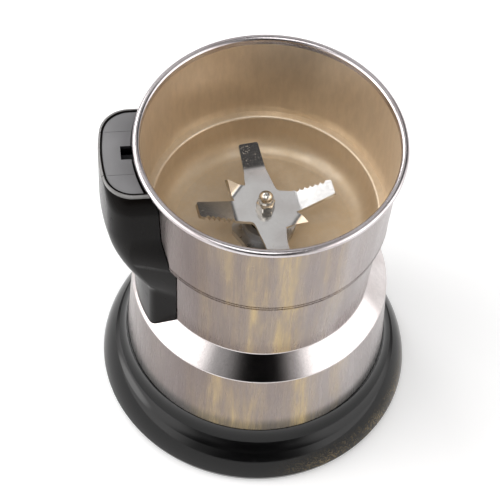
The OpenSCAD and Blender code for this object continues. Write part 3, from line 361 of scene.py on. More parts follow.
class Finish(Nodes):
    """The node tree of one material; what is the same all over is set on the shader's sockets."""

    def __init__(self, name, **shader):
        self.material = bpy.data.materials.new(name)
        self.material.use_nodes = True
        super().__init__(self.material.node_tree)
        self.shader = self.tree.nodes["Principled BSDF"]
        for socket, value in shader.items():
            self.shader.inputs[socket.replace("_", " ")].default_value = value

    def place(self, scale=(1, 1, 1)):
        """Place on the object in metres, stretched by a scale."""
        if not hasattr(self, "where"):
            self.where = self.node("ShaderNodeTexCoord", {}).outputs["Object"]
        made = self.node("ShaderNodeVectorMath", {0: self.where, 1: scale}, operation="MULTIPLY")
        return made.outputs[0]

    def axis(self, letter):
        """One coordinate on the object, in metres."""
        if not hasattr(self, "axes"):
            self.place()
            self.axes = self.node("ShaderNodeSeparateXYZ", {0: self.where}).outputs
        return self.axes[letter.upper()]

    def radius(self):
        """Distance from the drive axis."""
        x, y = self.axis("x"), self.axis("y")
        squares = self.math("ADD", self.math("MULTIPLY", x, x), self.math("MULTIPLY", y, y))
        return self.math("SQRT", squares)

    def colour(self, socket):
        """Links the base colour."""
        self.tree.links.new(socket, self.shader.inputs["Base Color"])

    def roughness(self, socket):
        """Links the roughness."""
        self.tree.links.new(socket, self.shader.inputs["Roughness"])

    def bump(self, height, distance):
        """Fine relief, a distance deep."""
        made = self.node("ShaderNodeBump", {"Height": height, "Distance": distance})
        self.tree.links.new(made.outputs[0], self.shader.inputs["Normal"])


BAND_TINT = (0.76, 0.72, 0.71)


def brushed(name, colour, rough, contrast, depth, stretch=(1, 1, 0.012), grain=420, stain=None,
            stretched_light=0.2, turn=0.25):
    """Steel sheet with fine lines along the direction that stretch flattens, and broad soft bands."""
    f = Finish(name, Metallic=1.0, Anisotropic=stretched_light, Anisotropic_Rotation=turn)
    f.tree.links.new(f.node("ShaderNodeTangent", {}, direction_type="RADIAL", axis="Z").outputs[0],
                     f.shader.inputs["Tangent"])
    lines = f.noise(f.place(stretch), grain * 4, 3, 0.6)
    strokes = f.noise(f.place(stretch), grain, 3, 0.6)
    bands = f.noise(f.place((1, 1, 0.12)), 46, 2, 0.5)
    marks = f.math("MULTIPLY_ADD", lines, 0.5, f.math("MULTIPLY", strokes, 0.5))
    tone = f.mix(f.ramp(marks, 0.34, 0.66), times(1 - contrast, colour), times(1 + contrast, colour))
    tone = f.mix(f.ramp(bands, 0.42, 0.70, 0, 0.75), tone, BAND_TINT, "MULTIPLY")
    # The hook changes the tone: painted shade and ochre streaks on the body steel, flour grains on the
    # blade.
    if stain:
        tone = stain(f, tone)
    f.colour(tone)
    f.roughness(f.ramp(marks, 0.3, 0.7, rough[1], rough[0]))
    f.bump(marks, depth * MM)
    return f.material


def towards(f, side, mirrored=False):
    """How far the surface lies towards a side of the drive axis: 1 there, -1 opposite.
    Mirrored, also towards that side beyond the handle's plane."""
    across = f.math("ABSOLUTE", f.axis("y")) if mirrored else f.axis("y")
    along = f.math("MULTIPLY_ADD", f.axis("x"), cos(side), f.math("MULTIPLY", across, sin(side)))
    return f.math("DIVIDE", along, f.radius())


# Painted shade: the body steel is darkened on both sides of the handle, in place of darker reflections
# there.
SHADED_SIDE = radians(125)
SIDE_SHADE_TINT = (0.45, 0.405, 0.385)
# Painted shade at the skirt's foot: its colour, and the heights where it starts and where it is full.
FOOT_SHADE = (0.07, 0.066, 0.064)
FOOT_SHADE_TOP_Z = SKIRT_Z + 10 * MM
FOOT_SHADE_FULL_Z = SKIRT_Z + 3.5 * MM
STREAK_SIDE = radians(-90)
STREAK_WIDTH = radians(44)
OCHRE = (0.66, 0.49, 0.22)


def painted_side_and_foot_shade(f, tone):
    """Painted shade: steel darkened on both sides of the handle, and darkest at the skirt's foot, in
    place of the reflected black base ring and the floor's shade.
    """
    # Painted shade on both sides of the handle.
    side_shade = f.ramp(towards(f, SHADED_SIDE, mirrored=True), 0.35, 1.0, smooth=False)
    tone = f.mix(side_shade, tone, SIDE_SHADE_TINT, "MULTIPLY")
    # Painted shade at the skirt's foot, with a ragged top.
    ragged = f.noise(f.place((1, 1, 0.3)), 160, 2, 0.5)
    height = f.math("MULTIPLY_ADD", ragged, 2 * MM, f.axis("z"))
    return f.mix(f.ramp(height, FOOT_SHADE_TOP_Z, FOOT_SHADE_FULL_Z, 0, 0.88), tone, FOOT_SHADE)


def shaded_and_streaked(f, tone):
    """Painted shade beside the handle and at the skirt's foot, and ochre streaks down the steel that are
    strong at the front and faint elsewhere.
    """
    tone = painted_side_and_foot_shade(f, tone)
    columns = f.noise(f.place((1, 1, 0.04)), 95, 2, 0.5)
    breaks = f.noise(f.place((1, 1, 0.25)), 110, 3, 0.6)
    fibres = f.noise(f.place((1, 1, 0.03)), 900, 2, 0.65)
    near = f.ramp(towards(f, STREAK_SIDE), cos(STREAK_WIDTH), 1.0, 0.04, 1.0)
    patch = f.product(f.ramp(columns, 0.42, 0.62, 0.2, 1.0), f.ramp(breaks, 0.36, 0.66, 0.3, 1.0))
    amount = f.product(patch, f.ramp(fibres, 0.34, 0.6, 0.6, 1.0), near)
    return f.mix(f.math("MULTIPLY", amount, 0.64), tone, OCHRE)


FLOUR = (0.74, 0.56, 0.33)


def floury_steel(name, colour, low_z, high_z, cover, rough):
    """Steel with a film of flour whose cover changes between two heights."""
    f = Finish(name, Anisotropic=0.3)
    swirl = f.noise(f.place((1, 1, 0.5)), 60, 3, 0.55, 1.0)
    grain = f.noise(f.place(), 1900, 3, 0.7)
    fine = f.noise(f.place((1, 1, 0.3)), 420, 3, 0.6)
    height = f.ramp(f.axis("z"), low_z, high_z, cover[0], cover[1])
    film = f.math("MULTIPLY", height, f.ramp(swirl, 0.25, 0.75, 0.65, 1.2))
    film = f.math("MINIMUM", f.math("MULTIPLY", film, f.ramp(grain, 0.3, 0.7, 0.75, 1.2)), 1.0)
    steel = f.mix(f.ramp(fine, 0.3, 0.7), times(0.9, colour), colour)
    f.colour(f.mix(film, steel, f.mix(grain, times(0.8, FLOUR), FLOUR)))
    f.tree.links.new(f.math("SUBTRACT", 1.0, film), f.shader.inputs["Metallic"])
    f.roughness(f.ramp(film, 0.0, 1.0, rough[0], rough[1], False))
    f.bump(grain, 0.01 * MM)
    return f.material


body_steel = brushed("brushed_body_steel", (0.452, 0.415, 0.413), (0.25, 0.31), 0.03, 0.0006,
                     stain=shaded_and_streaked, stretched_light=0.3, turn=0.0)
cone_steel = brushed("polished_shoulder_steel", (0.66, 0.62, 0.615), (0.08, 0.15), 0.05, 0.0004)
rim_steel = brushed("polished_rim_steel", (0.64, 0.60, 0.61), (0.18, 0.28), 0.05, 0.001,
                    stretch=(0.2, 0.2, 1), grain=1200)
inside_steel = floury_steel("cup_inside_steel", (0.82, 0.71, 0.58), CUP_FLOOR_Z + 3 * MM,
                            CUP_FLOOR_Z + 26 * MM, (0.55, 0.22), (0.26, 0.6))
floor_steel = floury_steel("cup_floor_steel", (0.74, 0.68, 0.60), CUP_FLOOR_Z - 2 * MM,
                           CUP_FLOOR_Z + 3 * MM, (0.62, 0.55), (0.3, 0.7))

SPECK = (0.42, 0.38, 0.33)


def moulded(name, colour, rough, texture, gloss=0.5, flank_marks=None, speck=0.0, ior=1.5):
    """Moulded plastic with a faint unevenness, a fine surface texture and scuffs."""
    f = Finish(name, IOR=ior, Specular_IOR_Level=gloss)
    waves = f.noise(f.place(), 60, 2, 0.5)
    grit = f.noise(f.place(), 2600, 3, 0.6)
    scuffs = f.noise(f.place((1, 1, 0.3)), 420, 4, 0.7, 1.5)
    scuffed = tuple(min(1, 1.5 * c + 0.008) for c in colour)
    tone = f.mix(f.ramp(waves, 0.3, 0.75), times(0.82, colour), colour)
    tone = f.mix(f.ramp(scuffs, 0.62, 0.8, 0, 0.35), tone, scuffed)
    if speck:
        tone = f.mix(f.ramp(grit, 0.62, 0.74, 0, speck), tone, SPECK)
    if flank_marks:
        tone = flank_marks(f, tone, grit)
    f.colour(tone)
    wear = f.math("MULTIPLY_ADD", f.ramp(scuffs, 0.5, 0.8), 0.18, rough)
    f.roughness(f.math("MULTIPLY_ADD", waves, 0.06, wear))
    height = f.math("MULTIPLY_ADD", grit, texture, f.math("MULTIPLY", waves, 0.02))
    f.bump(height, 0.05 * MM)
    return f.material


OLIVE_SPECK = (0.19, 0.14, 0.065)


def olive_speckled(f, tone, grit):
    """Olive-brown specks on the flange's lower flank, more to the right front."""
    low = f.ramp(f.axis("z"), 13 * MM, 5 * MM)
    side = f.ramp(f.math("SUBTRACT", f.math("MULTIPLY", f.axis("x"), 1.6), f.axis("y")), 0.05, 0.125)
    patches = f.ramp(f.noise(f.place((1, 1, 0.6)), 90, 3, 0.6), 0.35, 0.62, 0.25, 1.0)
    specks = f.ramp(f.noise(f.place(), 1300, 2, 0.6), 0.50, 0.60, 0.10, 1.0)
    amount = f.product(low, side, patches, specks, f.ramp(grit, 0.3, 0.6, 0.5, 1.0))
    return f.mix(f.math("MINIMUM", f.math("MULTIPLY", amount, 1.3), 1.0), tone, OLIVE_SPECK)


gloss_black = moulded("gloss_black_base", (0.0035, 0.0035, 0.0037), 0.06, 0.02, 0.30, flank_marks=olive_speckled)
handle_black = moulded("gloss_black_handle", (0.0045, 0.0036, 0.0032), 0.16, 0.06, 0.20,
                       speck=0.02, ior=1.25)
# Partly painted highlight: grey on the handle's rounded top edge, which is also the grey of its bezel.
bezel_and_highlight_grey = moulded("gloss_grey_bezel_and_highlight", (0.20, 0.195, 0.19), 0.2, 0.05, 0.5)
plate_grey = moulded("satin_grey_plate", (0.20, 0.197, 0.202), 0.42, 0.35)
matte_black = moulded("matte_black_plastic", (0.028, 0.028, 0.03), 0.55, 0.6)
rubber_black = moulded("moulded_rubber", (0.020, 0.020, 0.021), 0.78, 0.9, 0.25)
fan_nylon = moulded("fan_nylon", (0.05, 0.055, 0.06), 0.5, 0.4)
white_nylon = moulded("white_nylon", (0.74, 0.73, 0.68), 0.42, 0.3)
red_nylon = moulded("red_nylon", (0.56, 0.02, 0.014), 0.35, 0.2)
red_sleeve = moulded("red_wire_sleeve", (0.50, 0.022, 0.014), 0.38, 0.25)
brown_resin = moulded("brown_resin", (0.075, 0.038, 0.020), 0.34, 0.35)
yellow_case = moulded("yellow_case", (0.62, 0.40, 0.045), 0.30, 0.2)
pressed_carbon = moulded("pressed_carbon", (0.022, 0.022, 0.024), 0.5, 1.0, 0.6)


def turned(name, colour, rough=0.24, rings=2600):
    """Turned or ground metal with fine level lines."""
    f = Finish(name, Metallic=1.0)
    lines = f.noise(f.place((0.15, 0.15, 1)), rings, 2, 0.6)
    clouds = f.noise(f.place(), 240, 3, 0.6)
    f.colour(f.mix(f.ramp(clouds, 0.35, 0.7), times(0.72, colour), colour))
    f.roughness(f.math("MULTIPLY_ADD", lines, 0.22, f.math("MULTIPLY_ADD", clouds, 0.12, rough - 0.12)))
    f.bump(lines, 0.004 * MM)
    return f.material


GRAIN = (0.74, 0.66, 0.52)


def dusted(f, tone):
    """Grains of flour that cling to the blade's arms, more towards the tips."""
    grains = f.ramp(f.noise(f.place(), 1700, 2, 0.6), 0.60, 0.66)
    drifts = f.ramp(f.noise(f.place(), 260, 2, 0.6), 0.40, 0.60)
    amount = f.product(grains, drifts, f.ramp(f.radius(), 15 * MM, 25 * MM, 0.04, 0.9))
    f.tree.links.new(f.math("SUBTRACT", 1.0, amount), f.shader.inputs["Metallic"])
    return f.mix(amount, tone, GRAIN)


blade_steel = brushed("polished_blade_steel", (0.70, 0.69, 0.68), (0.14, 0.20), 0.02, 0.0006,
                      stretch=(1, 1, 1), grain=900, stain=dusted, stretched_light=0.0, turn=0.0)
nut_steel = turned("polished_nut_steel", (0.74, 0.70, 0.64), 0.16)
machined_steel = turned("machined_steel", (0.60, 0.60, 0.61))
zinc_plate = turned("zinc_plated_steel", (0.62, 0.63, 0.66), 0.30)
spring_steel = turned("spring_steel", (0.52, 0.52, 0.54), 0.26)
pressed_steel = turned("pressed_steel", (0.46, 0.46, 0.47), 0.36, 900)
tinned_can = turned("tinned_can", (0.66, 0.66, 0.68), 0.28)
plain_brass = turned("stamped_brass", (0.66, 0.46, 0.17), 0.28)
bronze = turned("sintered_bronze", (0.46, 0.29, 0.12), 0.5, 4000)
bar_copper = turned("commutator_copper", (0.62, 0.27, 0.12), 0.26, 3600)


def cast(name, colour):
    """Die-cast and bead-blasted metal."""
    f = Finish(name, Metallic=1.0)
    grain = f.noise(f.place(), 2200, 4, 0.65)
    stain = f.noise(f.place(), 90, 4, 0.6)
    f.colour(f.mix(f.ramp(stain, 0.35, 0.7), times(0.7, colour), colour))
    f.roughness(f.ramp(grain, 0.3, 0.7, 0.45, 0.68))
    f.bump(grain, 0.03 * MM)
    return f.material


def laminated(name):
    """Stacked electrical steel sheets, seen at their edges."""
    f = Finish(name, Metallic=1.0)
    sheets = f.node("ShaderNodeTexWave", {
        "Vector": f.place((0, 0, 1)), "Scale": 320.0, "Distortion": 0.0},
        bands_direction="Z").outputs["Fac"]
    oil = f.noise(f.place((1, 1, 0.5)), 160, 4, 0.6)
    edge = f.ramp(sheets, 0.05, 0.35)
    blue = f.mix(f.ramp(oil, 0.35, 0.7), (0.13, 0.135, 0.15), (0.26, 0.265, 0.28))
    f.colour(f.mix(edge, (0.05, 0.045, 0.045), blue))
    f.roughness(f.ramp(oil, 0.3, 0.7, 0.34, 0.55))
    f.bump(edge, 0.04 * MM)
    return f.material


def wound(name, stretch):
    """Enamelled copper wire, wound close and varnished."""
    f = Finish(name, Metallic=1.0, Coat_Weight=0.5, Coat_Roughness=0.15)
    wires = f.node("ShaderNodeTexWave", {
        "Vector": f.place(stretch), "Scale": 300.0, "Distortion": 1.2, "Detail": 1.0},
        bands_direction="DIAGONAL").outputs["Fac"]
    varnish = f.noise(f.place(), 180, 3, 0.6)
    bright = f.mix(f.ramp(varnish, 0.35, 0.7), (0.50, 0.17, 0.06), (0.66, 0.30, 0.12))
    f.colour(f.mix(f.ramp(wires, 0.05, 0.5), (0.12, 0.035, 0.014), bright))
    f.roughness(f.ramp(varnish, 0.3, 0.7, 0.28, 0.46))
    f.bump(wires, 0.12 * MM)
    return f.material


cast_alloy = cast("die_cast_alloy", (0.50, 0.51, 0.53))
core_laminations = laminated("core_laminations")
coil_wire = wound("coil_wire", (1, 1, 0.2))
armature_wire = wound("armature_wire", (0.6, 0.6, 1))

# Finishes of the nodes whose own solids show
FINISHES = (
    (machined_steel, "turret_nut blade_spacer motor_shaft"),
    (zinc_plate, "base_screws tie_screws handle_upper_screws handle_lower_screws"),
    (zinc_plate, "switch_screws motor_bolts"), (spring_steel, "interlock_spring switch_lever"),
    (pressed_steel, "handle_bracket switch_bracket"), (cast_alloy, "upper_bracket lower_bracket"),
    (matte_black, "bottom_cover switch_body interlock_rod"), (white_nylon, "terminal_block"),
    (rubber_black, "floor_gasket shaft_seal motor_mounts rubber_feet cord_grommet"),
    (fan_nylon, "cooling_fan"), (red_nylon, "switch_button"), (red_sleeve, "lead_wires"),
    (core_laminations, "stator_core armature_core"), (coil_wire, "field_coils"),
    (armature_wire, "armature_winding"), (bar_copper, "commutator"),
    (bronze, "upper_bearing lower_bearing"), (yellow_case, "interference_capacitor"),
    (plain_brass, "switch_terminals brush_springs brush_caps"), (tinned_can, "thermal_fuse"),
    (brown_resin, "brush_holders"), (pressed_carbon, "carbon_brushes"))
for finish, nodes in FINISHES:
    for node in nodes.split():
        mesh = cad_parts[node].data
        mesh.materials.clear()
        mesh.materials.append(finish)


def dress(obj, body, slot, *nodes):
    """Rides on a body and stands for CAD nodes; its slot is not used."""
    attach(obj, body)
    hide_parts(*nodes)


# --- Grinding cup ------------------------------------------------------------------------------


def bowl_r(z):
    """Outer radius of the bowl where it hangs inside the neck."""
    return neck_r(z) - SHEET - 0.2 * MM


# The lip between two fine grooves pressed above the cup's step, in mm out from and up from its edge
STEP_GROOVE = [(0.1, 3.2), (0.2, 2.6), (-0.3, 2.45), (-0.3, 2.1), (0.2, 1.95), (0.2, 1.4), (-0.5, 1.25),
               (-0.5, 0.5), (0.0, 0.3)]
GROOVE_BACK_R = STEP_R - 0.45 * MM
FLAT_FLOOR_R = 34 * MM


def make_cup():
    """The cup in one sheet: rolled rim, band, step, and the bowl that hangs inside the neck."""
    lower = rounded([
        (STEP_R, STEP_Z + 1 * MM), (STEP_R, STEP_Z), (bowl_r(STEP_Z), STEP_Z),
        (bowl_r(CUP_FLOOR_Z), CUP_FLOOR_Z - SHEET), (FLOOR_HOLE_R, CUP_FLOOR_Z - SHEET)],
        [0, 0.2 * MM, 0.3 * MM, FLOOR_CORNER_R + SHEET, 0])
    inner = moved_right([(BAND_TOP_R, BAND_TOP_Z)] + lower, SHEET)
    groove = [(STEP_R + across * MM, STEP_Z + up * MM) for across, up in STEP_GROOVE]
    bead = arc((RIM_R - BEAD_R, BEAD_Z), BEAD_R, 180, -90, 28)
    outline = bead + [(BAND_TOP_R, BAND_TOP_Z)] + groove + lower[1:] + inner[::-1]
    mesh = lathe_mesh("grinding_cup", outline)
    obj = piece("cup_with_rolled_rim", mesh, [body_steel, inside_steel, rim_steel, floor_steel])
    for face in mesh.polygons:
        centre = face.center
        r = hypot(centre.x, centre.y)
        inwards = face.normal.x * centre.x + face.normal.y * centre.y < 0
        if centre.z > BAND_TOP_Z:
            face.material_index = 2
        elif centre.z < CUP_FLOOR_Z + 2 * MM and r < FLAT_FLOOR_R:
            face.material_index = 3
        elif inwards or face.normal.z > 0.1 and r < GROOVE_BACK_R:
            face.material_index = 1
    dress(obj, "housing", "brushed_cup_steel", "grinding_cup")


make_cup()

# --- Motor housing -----------------------------------------------------------------------------


PRESSED_ROUND = 1.2 * MM
SCREW_HOLE_R = 1.6 * MM
ROD_ROOM = 0.5 * MM
ROD_WINDOW_X = (-47.7 * MM, -44.3 * MM)


def make_housing():
    """Neck, sloping shoulder and skirt in one sheet, with holes for the handle's screws and the rod."""
    outer = rounded([
        (NECK_TOP_R, STEP_Z), (NECK_TOP_R, STEP_Z - SHEET), (NECK_FOOT_R, NECK_Z),
        (SHOULDER_R, SHOULDER_Z), (SKIRT_R, SKIRT_Z + SHEET), (SKIRT_R, SKIRT_Z)],
        [0, 0, PRESSED_ROUND, PRESSED_ROUND, 0, 0])
    mesh = lathe_mesh("housing_shell", outer + moved_right(outer, SHEET)[::-1])
    obj = piece("housing_shell", mesh, [body_steel, cone_steel])
    for face in mesh.polygons:
        if face.normal.z > 0.2 and SHOULDER_Z - MM < face.center.z < NECK_Z + MM:
            face.material_index = 1
    screw_low, screw_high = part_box("handle_lower_screws")
    screw_z = (screw_low.z + screw_high.z) / 2
    screw_y = screw_high.y - 2.8 * MM
    holes = [rod_mesh((-36 * MM, 0.85 * y, screw_z), (-50 * MM, 1.15 * y, screw_z), SCREW_HOLE_R)
             for y in (-screw_y, screw_y)]
    rod_low, rod_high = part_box("interlock_rod")
    holes.append(block_mesh((ROD_WINDOW_X[0], rod_low.y - ROD_ROOM, SHOULDER_Z - 3 * MM),
                            (ROD_WINDOW_X[1], rod_high.y + ROD_ROOM, NECK_Z)))
    cut_with(obj, holes)
    dress(obj, "housing", "brushed_cup_steel", "motor_housing")


make_housing()

# --- Base ring ---------------------------------------------------------------------------------


HOLLOW_R = SKIRT_R + 0.2 * MM
HOLLOW_TURN = radians(62)
FLANK_Z = 3.8 * MM
FLANK_HALF_TURN = 15
COVER_LEDGE = 1.6 * MM


def hollow_shoulder():
    """The ring's hollow upper side, from the skirt's foot out and down to the crease."""
    return [(HOLLOW_R + (CREASE_R - HOLLOW_R) * (1 - cos(a)) / (1 - cos(HOLLOW_TURN)),
             SKIRT_Z - (SKIRT_Z - CREASE_Z) * sin(a) / sin(HOLLOW_TURN))
            for a in steps(0, HOLLOW_TURN, 16)]


def bulging_flank():
    """The ring's flank, an arc from the crease to its widest place near the floor."""
    run, fall = BASE_R - CREASE_R, CREASE_Z - FLANK_Z
    middle = degrees(atan2(run, fall))
    r = hypot(run, fall) / (2 * sin(radians(FLANK_HALF_TURN)))
    first = radians(middle + FLANK_HALF_TURN)
    centre = (CREASE_R - r * cos(first), CREASE_Z - r * sin(first))
    return arc(centre, r, middle + FLANK_HALF_TURN, middle - FLANK_HALF_TURN, 20)


def make_base():
    """The black base ring, with its inner spigot for the skirt and a bore for the cord's grommet."""
    seat_r = COVER_R + 0.1 * MM
    inside = [
        (BASE_R - 0.7 * MM, BASE_Z), (seat_r, BASE_Z), (seat_r, COVER_TOP_Z),
        (COVER_R - COVER_LEDGE, COVER_TOP_Z), (COVER_R - COVER_LEDGE, COVER_TOP_Z + 1.5 * MM),
        (CREASE_R - 1.4 * MM, CREASE_Z - 2.2 * MM), (SKIRT_R - 0.6 * MM, CREASE_Z + 1.2 * MM),
        (SPIGOT_IN_R, SKIRT_Z - 6 * MM), (SPIGOT_IN_R, SPIGOT_Z), (SPIGOT_R, SPIGOT_Z),
        (SPIGOT_R, SKIRT_Z)]
    mesh = lathe_mesh("flared_base", hollow_shoulder() + bulging_flank() + inside)
    obj = piece("flared_base", mesh, [gloss_black], 12)
    low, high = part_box("cord_grommet")
    z = (low.z + high.z) / 2
    flange_r = (high.x - low.x) / 2 + 0.1 * MM
    flange_t = 1.5 * MM
    cut_with(obj, [rod_mesh((0, SPIGOT_R, z), (0, BASE_R + MM, z), flange_r - flange_t),
                   rod_mesh((0, high.y - flange_t, z), (0, BASE_R + MM, z), flange_r)])
    dress(obj, "housing", "gloss_black_plastic", "base_ring")


make_base()

# --- Handle ------------------------------------------------------------------------------------

TAIL_R = SHOULDER_R - 1 * MM
TAIL_Z = STEP_Z - 18 * MM
BULGE_Z = HANDLE_TOP_Z - 22 * MM
WALL = 2 * MM
EDGE_ROUND = 1 * MM
BORDER = 1.4 * MM
LEAN_H = 9 * MM
SIDE_LEAN = 3 * MM
CORNER_R_LOW, CORNER_R_BULGE, CORNER_R_LEAN = 5 * MM, 4.5 * MM, 2 * MM
SPREAD_FOOT, SPREAD_STEP, SPREAD_H = 2 * MM, 3.5 * MM, 19 * MM
HANDLE_GAP = 0.3 * MM
RECESS_Z = HANDLE_TOP_Z - PLATE_T - 0.2 * MM
SEAM_Y = top("handle_top_plate").y + 0.05 * MM
SLOT_X = (-54.1 * MM, -49.1 * MM)
SLOT_HALF_W = 3 * MM


def bulge(z):
    """Share of the handle's full reach at a height: 0 at its tail, 1 from its bulge up."""
    t = min(1, max(0, (z - TAIL_Z) / (BULGE_Z - TAIL_Z)))
    return sin(pi / 2 * t) ** 0.85 if t else 0


def handle_r(z):
    """Outer radius of the handle's back."""
    return TAIL_R + (HANDLE_OUT_R - TAIL_R) * bulge(z)


def lean(z):
    """Share of the sides' inward lean at a height: 0 below the top stretch, 1 at the top."""
    return max(0, 1 - (HANDLE_TOP_Z - z) / LEAN_H) ** 2


def half_w(z):
    """Half the handle's width."""
    return HANDLE_HALF_W - SIDE_LEAN * lean(z)


def corner_r(z):
    """Radius of the handle's two upright corners."""
    return CORNER_R_LOW + CORNER_R_BULGE * bulge(z) + CORNER_R_LEAN * lean(z)


def spread(z):
    """How much wider the handle is against the cup than at its corners."""
    if z < STEP_Z:
        return SPREAD_STEP - (SPREAD_STEP - SPREAD_FOOT) * (STEP_Z - z) / (STEP_Z - NECK_Z)
    past = min(1, (z - STEP_Z) / SPREAD_H)
    return SPREAD_STEP * (1 - past) ** 3 * (1 + 3 * past + 6 * past ** 2)


def handle_plan(z, r_in, inset, wider=0, arc_n=16, corner_n=12):
    """Plan outline of the handle at a height, drawn towards +X: inner arc, corners, outer arc.
    Its sides and back are drawn in by inset, and it can be wider against the cup."""
    w = half_w(z) - inset
    back_r = handle_r(z) - inset
    r = max(corner_r(z) - inset, 0.3 * MM)
    u = sqrt((back_r - r) ** 2 - (w - r) ** 2)
    back_turn = degrees(atan2(w - r, u))
    reach = asin((w + wider) / r_in)
    to_side = Vector((r_in * cos(reach) - u, wider + r))
    start = degrees(atan2(to_side.y, to_side.x) - acos(r / to_side.length))
    plan = arc((0, 0), r_in, -degrees(reach), degrees(reach), arc_n)
    plan += arc((u, w - r), r, start, back_turn, corner_n)
    plan += arc((0, 0), back_r, back_turn, -back_turn, arc_n)[1:-1]
    plan += arc((u, r - w), r, -back_turn, -start, corner_n)
    return plan


def to_handle_side(plan, z):
    """Plan points turned to the handle's side, at a height."""
    return [(-x, -y, z) for x, y in plan]


def handle_outside():
    """The handle's outer form; its foot follows the cone of the shoulder."""
    foot = handle_plan(NECK_Z, neck_r(NECK_Z) + HANDLE_GAP, 0, spread(NECK_Z))
    rings = [[(-x, -y, shoulder_z(hypot(x, y)) + HANDLE_GAP / 2) for x, y in foot]]
    bend_z = TAIL_Z - 3 * MM
    under_step_z = STEP_Z - SHEET
    heights = steps(NECK_Z + 1.5 * MM, bend_z, 2) + steps(bend_z, under_step_z, 12)
    heights += [under_step_z] + steps(STEP_Z, BULGE_Z, 24) + [BULGE_Z]
    heights += steps(HANDLE_TOP_Z - LEAN_H, HANDLE_TOP_Z - EDGE_ROUND, 12)
    for z in heights:
        r_in = HANDLE_GAP + (neck_r(z) if z < STEP_Z else band_r(z))
        rings.append(to_handle_side(handle_plan(z, r_in, 0, spread(z)), z))
    for a in steps(0, 90, 6) + [90]:
        z = HANDLE_TOP_Z - EDGE_ROUND + EDGE_ROUND * sin(radians(a))
        inset = EDGE_ROUND * (1 - cos(radians(a)))
        rings.append(to_handle_side(handle_plan(z, band_r(z) + HANDLE_GAP, inset), z))
    return rings


def handle_cavity():
    """The room inside the handle for the push rod, open towards the cup."""
    heights = [SHOULDER_Z - 2 * MM, TAIL_Z - 3 * MM] + steps(TAIL_Z, BULGE_Z, 9)
    heights += [BULGE_Z, RECESS_Z - 2 * MM]
    return [to_handle_side(handle_plan(z, NECK_FOOT_R - 4 * MM, WALL, 0, 8, 6), z) for z in heights]


def seam_notch(side):
    """A fine nick in the handle's border where a seam of the top plates ends."""
    y, half, out = side * SEAM_Y, 0.12 * MM, -HANDLE_OUT_R
    return block_mesh((out - MM, y - half, HANDLE_TOP_Z - 1.4 * MM),
                      (out + 2.4 * MM, y + half, HANDLE_TOP_Z + MM))


def make_handle():
    """The handle's shell: hollow, with a recess for the top plates, the lid's slot and a grey edge that
    is partly a painted highlight.
    """
    mesh = loft_mesh("handle_body", handle_outside())
    obj = piece("handle_body", mesh, [handle_black, bezel_and_highlight_grey])
    border = handle_plan(HANDLE_TOP_Z, NECK_FOOT_R, BORDER)
    recess = loft_mesh("recess", [to_handle_side(border, z) for z in (RECESS_Z, HANDLE_TOP_Z + 2 * MM)])
    slot = block_mesh((SLOT_X[0], -SLOT_HALF_W, BULGE_Z + 2 * MM),
                      (SLOT_X[1], SLOT_HALF_W, HANDLE_TOP_Z + MM))
    cut_with(obj, [loft_mesh("cavity", handle_cavity()), recess, slot, seam_notch(-1), seam_notch(1)])
    shade(obj.data, 28)
    # The rounded top edge takes the grey: partly the bezel, partly a painted highlight.
    for face in obj.data.polygons:
        on_edge = face.center.z > HANDLE_TOP_Z - 0.7 * EDGE_ROUND and 0.25 < face.normal.z < 0.97
        face.material_index = 1 if on_edge else 0
    dress(obj, "housing", "gloss_black_plastic", "handle_shell")


make_handle()


def make_top_plates():
    """The grey plate with the lid's slot, and the two caps beside it, with softened edges."""
    soft = 0.25 * MM
    inset = BORDER + 0.1 * MM
    gap = 0.05 * MM
    wide, high_z = 80 * MM, 200 * MM
    levels = [(bottom("handle_top_plate").z, 0), (PLATE_TOP_Z - soft, 0),
              (PLATE_TOP_Z - 0.3 * soft, 0.3 * soft), (PLATE_TOP_Z, soft)]
    rings = [to_handle_side(handle_plan(HANDLE_TOP_Z, RIM_R + 0.4 * MM + more, inset + more), z)
             for z, more in levels]
    for name, low_y, high_y, node in (
            ("top_plate_middle", -SEAM_Y + gap, SEAM_Y - gap, "handle_top_plate"),
            ("top_plate_near", -HANDLE_HALF_W, -SEAM_Y - gap, "handle_top_caps"),
            ("top_plate_far", SEAM_Y + gap, HANDLE_HALF_W, "handle_top_caps")):
        obj = piece(name, loft_mesh(name, rings), [plate_grey, matte_black])
        away = [block_mesh((-wide, -wide, 0), (0, low_y, high_z)),
                block_mesh((-wide, high_y, 0), (0, wide, high_z))]
        if node == "handle_top_plate":
            away.append(block_mesh((SLOT_X[0], -SLOT_HALF_W, 0), (0, SLOT_HALF_W, high_z)))
        cut_with(obj, away)
        shade(obj.data, 30)
        for face in obj.data.polygons:
            face.material_index = 1 if abs(face.normal.z) < 0.3 else 0
        dress(obj, "housing", "grey_plastic", node)


make_top_plates()

# --- Blade and nut -----------------------------------------------------------------------------

BLADE_T = 1.5 * MM
BLADE_TURN = radians(97.8)
HUB_ARM_W, HUB_ARM_R = 11 * MM, 10 * MM
CORNER_R = 8.6 * MM
BOLT_HOLE_R = 2.02 * MM
# Both kinds of arm, with their widths at the fold and at the tip
PLAIN = {"fold": 17.3 * MM, "reach": 29 * MM, "widths": (8.4 * MM, 7.6 * MM), "bend": radians(11),
         "teeth": 0}
TOOTHED = {"fold": 11 * MM, "reach": 27.2 * MM, "widths": (9.6 * MM, 6.8 * MM), "bend": radians(21),
           "teeth": 6}
TAB_FOLD_R, TAB_HALF_W = 11.3 * MM, 4.2 * MM
TAB_ROOT_R = 10.9 * MM
# Tabs by the quarter they lie in: length, how far the tip lies to the side, and bend
TABS = {0: (8 * MM, 0.5 * MM, radians(50)), 2: (5.4 * MM, 4.4 * MM, radians(-40))}
# A bend's length, how far past an arm's fold its middle lies, and its facets
BEND_LEN = 3.2 * MM
BEND_MIDDLE = 0.8 * MM
BEND_CUTS = 8


